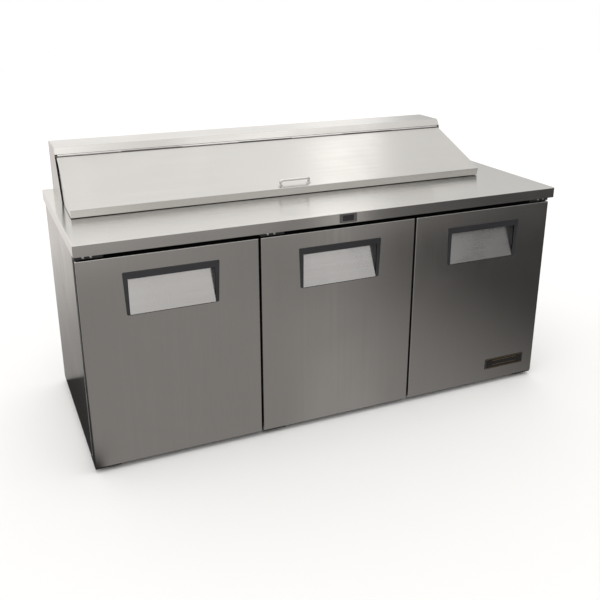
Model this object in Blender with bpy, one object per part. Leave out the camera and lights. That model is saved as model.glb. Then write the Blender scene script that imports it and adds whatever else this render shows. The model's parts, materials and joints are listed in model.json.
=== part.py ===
"""Three-door refrigerated preparation counter with a hooded pan well.

Blender 4.5, metres, +Z up. X runs along the counter, to the right of someone who stands in front
of it, -Y is the front, and Z = 0 is the floor. Y = 0 is the middle of the worktop's depth.
"""

import math

import bmesh
import bpy
from mathutils import Matrix, Vector

# Driving dimensions
WORKTOP_WIDTH = 1.839
WORKTOP_DEPTH = 0.766
FOOT_HEIGHT = 0.020
DOOR_HEIGHT = 0.742
FASCIA_GAP = 0.020
FASCIA_HEIGHT = 0.0395
HOOD_HEIGHT = 0.187
SHEET = 0.0012
GAP = 0.0003

# Doors
DOOR_PITCH = 0.6114
DOOR_SPACE = 0.008
DOOR_WIDTH = DOOR_PITCH - DOOR_SPACE
DOOR_SETBACK = 0.0205
DOOR_THICKNESS = 0.052
GASKET_THICKNESS = 0.0125
GASKET_WIDTH = 0.018
GASKET_INSET = 0.009
HINGE_FROM_SIDE = 0.012
HINGE_FROM_FRONT = 0.013
HINGE_PIN_RADIUS = 0.004
DOOR_LEFT_HINGED = {1: True, 2: True, 3: False}

# Door handles: a frame round a sloping pocket, open at the bottom
HANDLE_TOP = 0.6865
HANDLE_HEIGHT = 0.146
HANDLE_TOP_WIDTH = 0.3225
HANDLE_BOTTOM_WIDTH = 0.311
HANDLE_BAR = 0.024
POCKET_WIDTH = 0.290
POCKET_DEPTH = 0.030
POCKET_RISE = 0.014
HANDLE_PROUD = 0.0025
HANDLE_LIP = 0.006
HANDLE_WALL = 0.0015

# Levels and planes
WORKTOP_TOP = FOOT_HEIGHT + DOOR_HEIGHT + FASCIA_GAP + FASCIA_HEIGHT
WORKTOP_SHEET = 0.002
UNDER_WORKTOP = WORKTOP_TOP - WORKTOP_SHEET - GAP
DOOR_TOP = FOOT_HEIGHT + DOOR_HEIGHT
FRONT = -WORKTOP_DEPTH / 2
REAR = WORKTOP_DEPTH / 2
DOOR_FRONT = FRONT + DOOR_SETBACK
DOOR_BACK = DOOR_FRONT + DOOR_THICKNESS
CABINET_FRONT = DOOR_BACK + GASKET_THICKNESS + 0.0008
CABINET_REAR = REAR - 0.006
CABINET_HALF_WIDTH = DOOR_PITCH + DOOR_WIDTH / 2
SKIRT_FOOT = WORKTOP_TOP - FASCIA_HEIGHT

# Hinge brackets: a plate, its flanges and its pin
BRACKET_LENGTH = 0.088
BRACKET_SHEET = 0.003
BRACKET_SETBACK = 0.006
PIN_LENGTH = 0.014
SCREW_PLACES = (0.026, 0.050)
SCREW_RADIUS = 0.0035
SCREW_ABOVE_DOOR = 0.0105

# Display on the fascia, and the plain plate on the right-hand door
DISPLAY_PLACE = (0.0165, WORKTOP_TOP - 0.0195)
DISPLAY_HALF = (0.0335, 0.0165)
DISPLAY_STAND = 0.0015
SCREEN_HALF = (0.0215, 0.0105)
BADGE_PLACE = (0.7675, FOOT_HEIGHT + 0.0725)
BADGE_HALF = (0.0945, 0.0225)
BADGE_THICKNESS = 0.0012

# Cabinet
WALL = 0.040
PANEL = 0.001
PANEL_INNER = CABINET_HALF_WIDTH - PANEL
ROOM_HALF = CABINET_HALF_WIDTH - WALL
REAR_WALL_FACE = CABINET_REAR - WALL - GAP
BASE_SHEET = 0.002
BASE_TOP = FOOT_HEIGHT + BASE_SHEET + GAP
HEADER_BOTTOM = 0.735
HEADER_DEPTH = 0.040
MULLION_WIDTH = 0.060
MULLION_DEPTH = 0.040
FLOOR_TOP = FOOT_HEIGHT + 0.045
STEP_FRONT = 0.165
STEP_TOP = 0.330
STEP_WALL = 0.030
LEDGE_HEIGHT = 0.010
LEDGE_DEPTH = 0.014
LEDGE_FRONT = -0.245
MULLION_LEDGE = 0.045
FOOT_PLACES = {"front_left": (-0.80, -0.24), "front_right": (0.80, -0.24),
               "rear_left": (-0.80, 0.31), "rear_right": (0.80, 0.31)}

# Cover of the machine space at the rear
GRILLE_SHEET = 0.0015
SLOT_BLOCKS = (-0.62, 0.0, 0.62)
SLOT_HALF = 0.14
SLOT_ROWS = 7
SLOT_PITCH = 0.030
SLOT_HEIGHT = 0.008
FIRST_SLOT = 0.045
INLET_PLACE = (0.80, 0.10)

# Wire shelves
SHELF_FRONT = -0.240
SHELF_REAR = 0.228
SHELF_RIM = 0.007
SHELF_RODS = 14
ROD_HALF = 0.002
CROSS_ROD_HALF = 0.0025
CROSS_RODS = (-0.09, 0.08)

# Cooling: the evaporator hangs inside on the rear wall, the rest stands in the machine space
EVAPORATOR_HALF = 0.26
EVAPORATOR_FOOT = 0.440
EVAPORATOR_TOP = 0.680
EVAPORATOR_DEPTH = 0.095
EVAPORATOR_SHELL = 0.0015
EVAPORATOR_FAN = (-0.10, 0.56)
EVAPORATOR_FAN_RADIUS = 0.075
EVAPORATOR_HUB = 0.020
OUTLET_SPAN = (0.06, 0.17)
OUTLET_ROWS = 5
OUTLET_PITCH = 0.030
OUTLET_HEIGHT = 0.010
DIAL_PLACE = (0.215, 0.640)
COIL_DEPTH = 0.038
FAN_DEPTH = 0.030
COMPRESSOR_PLACE = (-0.25, 0.285)
CONDENSER_SPAN = (-0.76, -0.50)
CONDENSER_REAR = 0.360
CONDENSER_TOP = 0.270
CONDENSER_FAN = (-0.63, 0.286, 0.15)
CONDENSER_FAN_RADIUS = 0.100
CONDENSER_HUB = 0.026
MOTOR_LENGTH = 0.020

# Pan well, with its ledge below the worktop's face
PAN_COUNT = 6
PAN_PITCH = 0.2655
PAN_WIDTH = 0.265
PAN_LENGTH = 0.325
PAN_DEPTH = 0.100
PAN_SHEET = 0.0010
PAN_FLANGE = 0.012
PAN_TAPER = 0.006
WELL_CENTRE_X = -0.0555
WELL_CENTRE_Y = 0.1165
WELL_PLAY = 0.0015
LEDGE_DROP = 0.008
LEDGE_WIDTH = 0.009

# Hood and lid, in the plane across X
HOOD_LEFT = -0.878
HOOD_RIGHT = 0.767
HOOD_REAR = REAR - 0.003
HOOD_TOP = WORKTOP_TOP + HOOD_HEIGHT
BAND_TOP_Y = 0.2365
BAND_BOTTOM = Vector((0.2187, HOOD_TOP - 0.0255))
LID_AXIS = Vector((0.2160, HOOD_TOP - 0.0320))
LID_FOLD = Vector((-0.0900, WORKTOP_TOP + 0.0315))
LID_LIP = Vector((-0.0840, WORKTOP_TOP + 0.0045))
LID_SIDE_FOOT_Y = 0.128
LID_GAP = 0.006
LID_LINER_THICKNESS = 0.018
KNUCKLE_RADIUS = 0.0032
KNUCKLE_BORE = 0.0021
LID_PIN_RADIUS = 0.0015
KNUCKLE_SEGMENTS = 7
KNUCKLE_CLEAR = 0.0042
LEAF_WIDTH = 0.018
LID_HANDLE_X = -0.0525
LID_HANDLE_SPAN = 0.115
LID_HANDLE_UP = 0.025
LID_HANDLE_STAND = 0.022
LID_HANDLE_BAR = 0.009

PLANES = {"X": (1, 2), "Y": (0, 2), "Z": (0, 1)}
MATERIALS = {}


def clear_scene():
    for obj in list(bpy.data.objects):
        bpy.data.objects.remove(obj)


def material(name, colour, roughness, metallic):
    """A Principled material, made once and shared by the pieces of one finish."""
    if name not in MATERIALS:
        made = bpy.data.materials.new(name)
        made.use_nodes = True
        shader = made.node_tree.nodes["Principled BSDF"]
        shader.inputs["Base Color"].default_value = (*colour, 1.0)
        shader.inputs["Roughness"].default_value = roughness
        shader.inputs["Metallic"].default_value = metallic
        made.diffuse_color = (*colour, 1.0)
        MATERIALS[name] = made
    return MATERIALS[name]


def stainless():
    return material("brushed_stainless", (0.62, 0.61, 0.59), 0.34, 1.0)


def galvanised():
    return material("galvanised_steel", (0.55, 0.56, 0.57), 0.5, 1.0)


def liner_white():
    return material("liner_white", (0.86, 0.87, 0.88), 0.45, 0.0)


def handle_grey():
    return material("handle_grey", (0.075, 0.078, 0.095), 0.45, 0.0)


def seal_black():
    return material("seal_black", (0.015, 0.015, 0.016), 0.7, 0.0)


def black_steel():
    return material("black_steel", (0.03, 0.03, 0.032), 0.45, 0.3)


def add_object(name, bm, finish, parent=None):
    """Closes a bmesh into a named object, its normals out and its round faces smooth."""
    bmesh.ops.recalc_face_normals(bm, faces=bm.faces[:])
    mesh = bpy.data.meshes.new(name)
    bm.to_mesh(mesh)
    bm.free()
    mesh.materials.append(finish)
    mesh.shade_smooth()
    mesh.set_sharp_from_angle(angle=math.radians(30))
    obj = bpy.data.objects.new(name, mesh)
    bpy.context.scene.collection.objects.link(obj)
    if parent is not None:
        obj.parent = parent
        obj.matrix_parent_inverse = Matrix.Translation(-parent.location)
    return obj


def pivot(name, place):
    """An empty on a joint's axis, which carries the pieces that turn about it."""
    empty = bpy.data.objects.new(name, None)
    empty.empty_display_size = 0.05
    empty.location = place
    bpy.context.scene.collection.objects.link(empty)
    return empty


def put_box(bm, low, high):
    low, high = Vector(low), Vector(high)
    size = high - low
    place = Matrix.Translation((low + high) / 2) @ Matrix.Diagonal((*size, 1.0))
    bmesh.ops.create_cube(bm, size=1.0, matrix=place)


def box(name, low, high, finish, parent=None):
    bm = bmesh.new()
    put_box(bm, low, high)
    return add_object(name, bm, finish, parent)


def put_prism(bm, outline, axis, start, end):
    """An outline in the plane across the axis, extruded from start to end along it."""
    first, second = PLANES[axis]
    along = "XYZ".index(axis)
    corners = []
    for point in outline:
        corner = [0.0, 0.0, 0.0]
        corner[first], corner[second], corner[along] = point[0], point[1], start
        corners.append(bm.verts.new(corner))
    base = bm.faces.new(corners)
    grown = bmesh.ops.extrude_face_region(bm, geom=[base])["geom"]
    shift = [0.0, 0.0, 0.0]
    shift[along] = end - start
    moved = [item for item in grown if isinstance(item, bmesh.types.BMVert)]
    bmesh.ops.translate(bm, vec=shift, verts=moved)


def prism(name, outline, axis, start, end, finish, parent=None):
    bm = bmesh.new()
    put_prism(bm, outline, axis, start, end)
    return add_object(name, bm, finish, parent)


def put_cylinder(bm, centre, axis, radius, length, sides=24):
    turn = {"X": Matrix.Rotation(math.pi / 2, 4, "Y"), "Y": Matrix.Rotation(math.pi / 2, 4, "X"),
            "Z": Matrix.Identity(4)}[axis]
    bmesh.ops.create_cone(bm, cap_ends=True, segments=sides, radius1=radius, radius2=radius, depth=length,
                          matrix=Matrix.Translation(centre) @ turn)


def cylinder(name, centre, axis, radius, length, finish, parent=None, sides=24):
    bm = bmesh.new()
    put_cylinder(bm, centre, axis, radius, length, sides)
    return add_object(name, bm, finish, parent)


def ring_of_points(centre, half, radius, axis, steps=4):
    """A rectangle with rounded corners, across the axis; half holds its two half sizes."""
    first, second = PLANES[axis]
    points = []
    for quarter in range(4):
        middle = math.pi / 4 + quarter * math.pi / 2
        corner = (math.copysign(half[0] - radius, math.cos(middle)),
                  math.copysign(half[1] - radius, math.sin(middle)))
        for step in range(steps + 1):
            angle = quarter * math.pi / 2 + step / steps * math.pi / 2
            point = Vector(centre)
            point[first] += corner[0] + radius * math.cos(angle)
            point[second] += corner[1] + radius * math.sin(angle)
            points.append(point)
    return points


def put_loft(bm, loops, ring=False):
    """Skins a row of loops; a ring joins the last to the first, and otherwise both ends are capped."""
    rows = [[bm.verts.new(point) for point in loop] for loop in loops]
    pairs = list(zip(rows, rows[1:] + rows[:1])) if ring else list(zip(rows, rows[1:]))
    for one, two in pairs:
        for index in range(len(one)):
            after = (index + 1) % len(one)
            bm.faces.new((one[index], one[after], two[after], two[index]))
    if not ring:
        bm.faces.new(rows[0])
        bm.faces.new(rows[-1])


def loft(name, loops, finish, parent=None, ring=False):
    bm = bmesh.new()
    put_loft(bm, loops, ring)
    return add_object(name, bm, finish, parent)


def turned(name, profile, centre, axis, finish, parent=None, sides=24):
    """A turned piece: the profile holds (radius, distance along the axis) pairs."""
    first, second = PLANES[axis]
    along = "XYZ".index(axis)
    loops = []
    for radius, distance in profile:
        loop = []
        for side in range(sides):
            angle = 2 * math.pi * side / sides
            point = Vector(centre)
            point[first] += radius * math.cos(angle)
            point[second] += radius * math.sin(angle)
            point[along] += distance
            loop.append(point)
        loops.append(loop)
    return loft(name, loops, finish, parent)


def combine(obj, helper, operation):
    """A Boolean with a helper object, which then only shows as a wire guide."""
    helper.hide_render = True
    helper.display_type = "WIRE"
    helper.parent = obj.parent
    helper.matrix_parent_inverse = obj.matrix_parent_inverse
    modifier = obj.modifiers.new(helper.name, "BOOLEAN")
    modifier.operation = operation
    modifier.solver = "EXACT"
    modifier.object = helper


def subtract(obj, helper):
    combine(obj, helper, "DIFFERENCE")


def unite(obj, helper):
    combine(obj, helper, "UNION")


def build_worktop():
    """One folded sheet: face, skirt all round, and the well's edge turned down to a ledge."""
    middle = (0.0, 0.0)
    well = (WELL_CENTRE_X, WELL_CENTRE_Y)
    outer = (WORKTOP_WIDTH / 2, WORKTOP_DEPTH / 2)
    opening = (PAN_COUNT * PAN_PITCH / 2 + WELL_PLAY, PAN_LENGTH / 2 + WELL_PLAY)
    under_face = WORKTOP_TOP - WORKTOP_SHEET
    ledge = WORKTOP_TOP - LEDGE_DROP
    edge = 0.0015
    section = (
        (well, opening, -LEDGE_WIDTH, ledge - WORKTOP_SHEET),
        (well, opening, -LEDGE_WIDTH, ledge),
        (well, opening, 0.0, ledge),
        (well, opening, 0.0, WORKTOP_TOP),
        (middle, outer, -edge, WORKTOP_TOP),
        (middle, outer, 0.0, WORKTOP_TOP - edge),
        (middle, outer, 0.0, SKIRT_FOOT),
        (middle, outer, -WORKTOP_SHEET, SKIRT_FOOT),
        (middle, outer, -WORKTOP_SHEET, under_face),
        (well, opening, WORKTOP_SHEET, under_face),
        (well, opening, WORKTOP_SHEET, ledge - WORKTOP_SHEET),
    )
    loops = []
    for centre, half, growth, level in section:
        radius = 0.004 if centre is middle else 0.012 + growth
        loops.append(ring_of_points((*centre, level), (half[0] + growth, half[1] + growth), radius, "Z", 3))
    loft("worktop", loops, stainless(), ring=True)


def build_pans():
    flange_top = WORKTOP_TOP - LEDGE_DROP + GAP + PAN_SHEET
    for number in range(1, PAN_COUNT + 1):
        x = WELL_CENTRE_X + (number - (PAN_COUNT + 1) / 2) * PAN_PITCH
        half = (PAN_WIDTH / 2, PAN_LENGTH / 2)
        section = (
            (PAN_FLANGE + PAN_SHEET + PAN_TAPER, flange_top - PAN_DEPTH),
            (PAN_FLANGE + PAN_SHEET, flange_top),
            (0.0, flange_top),
            (0.0, flange_top - PAN_SHEET),
            (PAN_FLANGE, flange_top - PAN_SHEET),
            (PAN_FLANGE + PAN_TAPER, flange_top - PAN_DEPTH - PAN_SHEET),
        )
        loops = []
        for inset, level in section:
            radius = 0.010 if inset == 0.0 else 0.022
            size = (half[0] - inset, half[1] - inset)
            loops.append(ring_of_points((x, WELL_CENTRE_Y, level), size, radius, "Z", 3))
        loft(f"pan_{number}", loops, stainless())


def slope_frame():
    """The lid's directions across X: down its slope, and into it."""
    down = (LID_FOLD - LID_AXIS).normalized()
    return down, Vector((-down.y, down.x))


def lid_outline():
    down, _ = slope_frame()
    foot = Vector((LID_SIDE_FOOT_Y, LID_LIP.y))
    rear = (foot - LID_AXIS).normalized()
    return [LID_AXIS + KNUCKLE_CLEAR * down, LID_FOLD, LID_LIP, foot, LID_AXIS + 0.010 * rear]


def knuckle_spans(moving):
    """The stretches of the lid's hinge that belong to one leaf, with a little end play."""
    start, end = HOOD_LEFT + 0.010, HOOD_RIGHT - 0.010
    step = (end - start) / KNUCKLE_SEGMENTS
    play = 0.0006
    picked = range(1, KNUCKLE_SEGMENTS, 2) if moving else range(0, KNUCKLE_SEGMENTS, 2)
    return [(start + index * step + play, start + (index + 1) * step - play) for index in picked]


def strip_along(origin, direction, across, start, end, low, high):
    """A rectangle along a direction, between two distances across it."""
    return [origin + start * direction + low * across, origin + end * direction + low * across,
            origin + end * direction + high * across, origin + start * direction + high * across]


def build_lid(axis):
    down, inward = slope_frame()
    outline = lid_outline()
    skin = prism("lid_skin", outline, "X", HOOD_LEFT, HOOD_RIGHT, stainless(), axis)
    lip_way = (LID_LIP - LID_FOLD).normalized()
    lip_inward = Vector((-lip_way.y, lip_way.x))
    corner = LID_FOLD + SHEET * inward + SHEET * lip_inward
    hollow = [corner, corner + 0.06 * lip_way, Vector((REAR, WORKTOP_TOP - 0.03)),
              LID_AXIS - 0.15 * down + SHEET * inward]
    subtract(skin, prism("lid_hollow", hollow, "X", HOOD_LEFT + SHEET, HOOD_RIGHT - SHEET, stainless()))

    knuckles = bmesh.new()
    tabs = bmesh.new()
    bores = bmesh.new()
    for start, end in knuckle_spans(moving=True):
        middle = ((start + end) / 2, LID_AXIS.x, LID_AXIS.y)
        put_cylinder(knuckles, middle, "X", KNUCKLE_RADIUS, end - start, 16)
        put_cylinder(bores, middle, "X", KNUCKLE_BORE, end - start + 0.002, 16)
        tab = strip_along(LID_AXIS, down, inward, 0.0026, 0.007, 0.0001, SHEET - 0.0001)
        put_prism(tabs, tab, "X", start, end)
    unite(skin, add_object("lid_tabs", tabs, stainless()))
    unite(skin, add_object("lid_knuckles", knuckles, stainless()))
    subtract(skin, add_object("lid_knuckle_bores", bores, stainless()))

    cover = SHEET + GAP
    deep = cover + LID_LINER_THICKNESS
    top = LID_AXIS + 0.014 * down
    foot = LID_FOLD - 0.004 * down
    liner = [top + cover * inward, foot + cover * inward, foot + deep * inward, top + deep * inward]
    inset = SHEET + 2 * GAP
    prism("lid_liner", liner, "X", HOOD_LEFT + inset, HOOD_RIGHT - inset, liner_white(), axis)
    build_lid_handle(axis, down, inward)


def build_lid_handle(axis, down, inward):
    """A bow: two feet on the lid's slope, and a bar that stands off it."""
    seat = LID_FOLD - LID_HANDLE_UP * down - GAP * inward
    bm = bmesh.new()
    half = LID_HANDLE_BAR / 2
    outer = LID_HANDLE_SPAN / 2 + half
    inner = outer - LID_HANDLE_BAR
    chamfer, hollow_chamfer = 0.008, 0.005
    right = [(outer - chamfer, 1.0), (outer, 0.7), (outer, 0.0), (inner, 0.0), (inner, 0.62),
             (inner - hollow_chamfer, 0.72)]
    loop = right + [(-x, rise) for x, rise in reversed(right)]
    rows = []
    for side in (-half, half):
        row = []
        for x, rise in loop:
            point = seat + side * down - rise * LID_HANDLE_STAND * inward
            row.append(Vector((LID_HANDLE_X + x, point.x, point.y)))
        rows.append(row)
    put_loft(bm, rows)
    add_object("lid_handle", bm, stainless(), axis)


def build_hood():
    rise = Vector((BAND_TOP_Y, HOOD_TOP)) - BAND_BOTTOM
    up = rise.normalized()
    inner = Vector((up.y, -up.x))
    corner = Vector((BAND_TOP_Y, HOOD_TOP))
    rear_top = Vector((HOOD_REAR, HOOD_TOP))
    rear_foot = Vector((HOOD_REAR, WORKTOP_TOP + GAP))
    inside_of_bend = Vector((corner.x + 0.6 * SHEET, HOOD_TOP - SHEET))
    back = Vector((-SHEET, 0.0))
    cover = [BAND_BOTTOM, corner, rear_top, rear_foot, rear_foot + back, rear_top + Vector((-SHEET, -SHEET)),
             inside_of_bend, BAND_BOTTOM + SHEET * inner]
    side = SHEET + GAP
    prism("hood_cover", cover, "X", HOOD_LEFT + side, HOOD_RIGHT - side, stainless())

    side_foot = Vector((LID_SIDE_FOOT_Y + LID_GAP, WORKTOP_TOP + GAP))
    under_band = BAND_BOTTOM + Vector((-0.0005, -0.010))
    cheek = [BAND_BOTTOM, corner, rear_top, rear_foot, side_foot, under_band]
    for name, start in (("hood_left_cheek", HOOD_LEFT), ("hood_right_cheek", HOOD_RIGHT - SHEET)):
        prism(name, cheek, "X", start, start + SHEET, stainless())
    build_hinge_leaf(up, inner)


def build_hinge_leaf(up, inner):
    """The fixed leaf of the lid's hinge, with its knuckles and the pin, behind the hood's band."""
    spans = knuckle_spans(moving=False)
    start, end = spans[0][0], spans[-1][1]
    face, rear = 0.0003, 0.0011
    outline = strip_along(LID_AXIS, up, inner, KNUCKLE_CLEAR, LEAF_WIDTH, face, rear)
    leaf = prism("lid_hinge_leaf", outline, "X", start, end, stainless())
    knuckles = bmesh.new()
    tabs = bmesh.new()
    for low, high in spans:
        middle = ((low + high) / 2, LID_AXIS.x, LID_AXIS.y)
        put_cylinder(knuckles, middle, "X", KNUCKLE_RADIUS, high - low, 16)
        put_prism(tabs, strip_along(LID_AXIS, up, inner, 0.001, 0.006, 0.0005, 0.0009), "X", low, high)
    unite(leaf, add_object("leaf_tabs", tabs, stainless()))
    unite(leaf, add_object("leaf_knuckles", knuckles, stainless()))
    pin_middle = ((start + end) / 2, LID_AXIS.x, LID_AXIS.y)
    pin = cylinder("leaf_pin", pin_middle, "X", LID_PIN_RADIUS, end - start - 0.004, stainless(), sides=12)
    unite(leaf, pin)


def door_middle(number):
    return (number - 2) * DOOR_PITCH


def hinge_side(number):
    """-1 where the door hangs on its left edge, 1 on its right."""
    return -1 if DOOR_LEFT_HINGED[number] else 1


def hinge_place(number):
    x = door_middle(number) + hinge_side(number) * (DOOR_WIDTH / 2 - HINGE_FROM_SIDE)
    return x, DOOR_FRONT + HINGE_FROM_FRONT


def door_loop(number, inset, y, radius):
    centre = (door_middle(number), y, FOOT_HEIGHT + DOOR_HEIGHT / 2)
    return ring_of_points(centre, (DOOR_WIDTH / 2 - inset, DOOR_HEIGHT / 2 - inset), radius, "Y", 2)


def pocket_section(grow, front):
    """The handle pocket's side view: flush at its foot, deep behind the grip bar."""
    foot = FOOT_HEIGHT + HANDLE_TOP - HANDLE_HEIGHT
    bar_foot = FOOT_HEIGHT + HANDLE_TOP - HANDLE_BAR
    lip = DOOR_FRONT + HANDLE_LIP
    deep = DOOR_FRONT + POCKET_DEPTH + grow
    roof = bar_foot + POCKET_RISE + grow
    if grow:
        return [(front, foot - grow), (DOOR_FRONT + grow, foot - grow), (deep, bar_foot), (deep, roof),
                (front, roof)]
    return [(front, foot), (DOOR_FRONT, foot), (deep, bar_foot), (deep, roof), (lip, roof), (lip, bar_foot),
            (front, bar_foot)]


def handle_frame_outline(number):
    """The grip frame from the front: a bar and two legs with round feet."""
    x = door_middle(number)
    top = FOOT_HEIGHT + HANDLE_TOP
    foot = top - HANDLE_HEIGHT
    inner = POCKET_WIDTH / 2
    round_foot = (HANDLE_BOTTOM_WIDTH / 2 - inner) / 2
    corner = 0.006
    half = []
    for step in range(4):
        angle = math.pi / 2 * step / 3
        side = HANDLE_TOP_WIDTH / 2 - corner + corner * math.sin(angle)
        half.append((side, top - corner + corner * math.cos(angle)))
    for step in range(7):
        angle = math.pi * step / 6
        side = inner + round_foot + round_foot * math.cos(angle)
        half.append((side, foot + round_foot - round_foot * math.sin(angle)))
    half.append((inner, top - HANDLE_BAR))
    return [(x + side, z) for side, z in half] + [(x - side, z) for side, z in reversed(half)]


def build_door(number):
    x, y = hinge_place(number)
    axis = pivot(f"door_{number}_axis", (x, y, FOOT_HEIGHT))
    middle = door_middle(number)
    edge = 0.0015
    skin = loft(f"door_{number}_skin", [
        door_loop(number, SHEET, DOOR_FRONT + SHEET, 0.001),
        door_loop(number, SHEET, DOOR_BACK, 0.001),
        door_loop(number, 0.0, DOOR_BACK, 0.002),
        door_loop(number, 0.0, DOOR_FRONT + edge, 0.002),
        door_loop(number, edge, DOOR_FRONT, 0.001),
    ], stainless(), axis)
    wide = POCKET_WIDTH / 2 + HANDLE_WALL + GAP
    clear_of_front = DOOR_FRONT - 0.010
    section = pocket_section(HANDLE_WALL + GAP, clear_of_front)
    subtract(skin, prism(f"door_{number}_mouth", section, "X", middle - wide, middle + wide, stainless()))

    core = SHEET + GAP
    liner = loft(f"door_{number}_liner", [
        door_loop(number, core, DOOR_FRONT + core, 0.001),
        door_loop(number, core, DOOR_BACK, 0.001),
    ], liner_white(), axis)
    recess = prism(f"door_{number}_recess", section, "X", middle - wide, middle + wide, liner_white())
    subtract(liner, recess)
    bore_depth, past = 0.016, 0.001
    bores = {"foot": (FOOT_HEIGHT - past, FOOT_HEIGHT + bore_depth),
             "top": (DOOR_TOP - bore_depth, DOOR_TOP + past)}
    for end, (low, high) in bores.items():
        for label, obj in (("skin", skin), ("liner", liner)):
            bore = cylinder(f"door_{number}_{label}_{end}_bore", (x, y, (low + high) / 2), "Z",
                            HINGE_PIN_RADIUS + 0.0008, high - low, stainless())
            subtract(obj, bore)

    near = DOOR_BACK + GAP
    far = near + GASKET_THICKNESS
    inner = GASKET_INSET + GASKET_WIDTH
    loops = [door_loop(number, inset, depth, 0.004)
             for inset, depth in ((GASKET_INSET, near), (GASKET_INSET, far), (inner, far), (inner, near))]
    loft(f"door_{number}_gasket", loops, seal_black(), axis, ring=True)

    handle = prism(f"door_{number}_handle", handle_frame_outline(number), "Y", DOOR_FRONT - HANDLE_PROUD,
                   DOOR_FRONT - GAP, handle_grey(), axis)
    tray_half = POCKET_WIDTH / 2 + HANDLE_WALL
    unite(handle, prism(f"door_{number}_tray", pocket_section(HANDLE_WALL, DOOR_FRONT - 0.001), "X",
                        middle - tray_half, middle + tray_half, handle_grey()))
    subtract(handle, prism(f"door_{number}_pocket", pocket_section(0.0, clear_of_front), "X",
                           middle - POCKET_WIDTH / 2, middle + POCKET_WIDTH / 2, handle_grey()))
    return axis


def build_badge(axis):
    """A plain plate low on the right-hand door."""
    back = DOOR_FRONT - GAP
    loops = [ring_of_points((BADGE_PLACE[0], y, BADGE_PLACE[1]), BADGE_HALF, 0.003, "Y", 2)
             for y in (back, back - BADGE_THICKNESS)]
    loft("badge_plate", loops, material("badge_black", (0.02, 0.02, 0.02), 0.3, 0.2), axis)


def build_hinge_brackets(number):
    """Plates above and below the door's hinge corner, each with its pin; two screws face the front."""
    x, y = hinge_place(number)
    side = hinge_side(number)
    edge = door_middle(number) + side * DOOR_WIDTH / 2
    left, right = sorted((edge, edge - side * BRACKET_LENGTH))
    front = DOOR_FRONT + BRACKET_SETBACK
    rear = CABINET_FRONT - GAP
    plate_foot = DOOR_TOP + BRACKET_SHEET
    inside = plate_foot + 0.001
    past_plate = 0.005
    top = box(f"door_{number}_top_hinge", (left, front, plate_foot),
              (right, rear, plate_foot + BRACKET_SHEET), black_steel())
    unite(top, box(f"door_{number}_top_flange", (left, front, inside),
                   (right, front + BRACKET_SHEET, SKIRT_FOOT - 0.002), black_steel()))
    unite(top, box(f"door_{number}_top_back", (left, rear - BRACKET_SHEET, inside),
                   (right, rear, UNDER_WORKTOP - 0.004), black_steel()))
    unite(top, cylinder(f"door_{number}_top_pin", (x, y, plate_foot - past_plate), "Z", HINGE_PIN_RADIUS,
                        PIN_LENGTH, black_steel()))
    screws = bmesh.new()
    for distance in SCREW_PLACES:
        place = (edge - side * distance, front - 0.0005, DOOR_TOP + SCREW_ABOVE_DOOR)
        put_cylinder(screws, place, "Y", SCREW_RADIUS, 0.004, 12)
    unite(top, add_object(f"door_{number}_top_screws", screws, black_steel()))

    plate_top = FOOT_HEIGHT - BRACKET_SHEET
    reach, pad_inset = 0.030, 0.004
    foot = box(f"door_{number}_bottom_hinge", (left, front - 0.002, plate_top - BRACKET_SHEET),
               (right, CABINET_FRONT + reach, plate_top), black_steel())
    unite(foot, cylinder(f"door_{number}_bottom_pin", (x, y, plate_top + past_plate), "Z", HINGE_PIN_RADIUS,
                         PIN_LENGTH, black_steel()))
    low = (left + pad_inset, CABINET_FRONT + pad_inset, plate_top - 0.001)
    high = (right - pad_inset, CABINET_FRONT + reach - pad_inset, FOOT_HEIGHT - GAP)
    unite(foot, box(f"door_{number}_bottom_pad", low, high, black_steel()))


def build_display():
    """Temperature display: a bezel on the fascia with a recessed screen."""
    x, z = DISPLAY_PLACE
    front = FRONT - DISPLAY_STAND
    loops = [ring_of_points((x, y, z), DISPLAY_HALF, 0.003, "Y", 2) for y in (FRONT - GAP, front)]
    bezel = loft("temperature_display", loops, material("display_bezel", (0.62, 0.62, 0.61), 0.4, 0.3))
    half_width, half_height = SCREEN_HALF
    recess = box("display_recess", (x - half_width, front - 0.0015, z - half_height),
                 (x + half_width, front + 0.0006, z + half_height), seal_black())
    subtract(bezel, recess)


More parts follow.
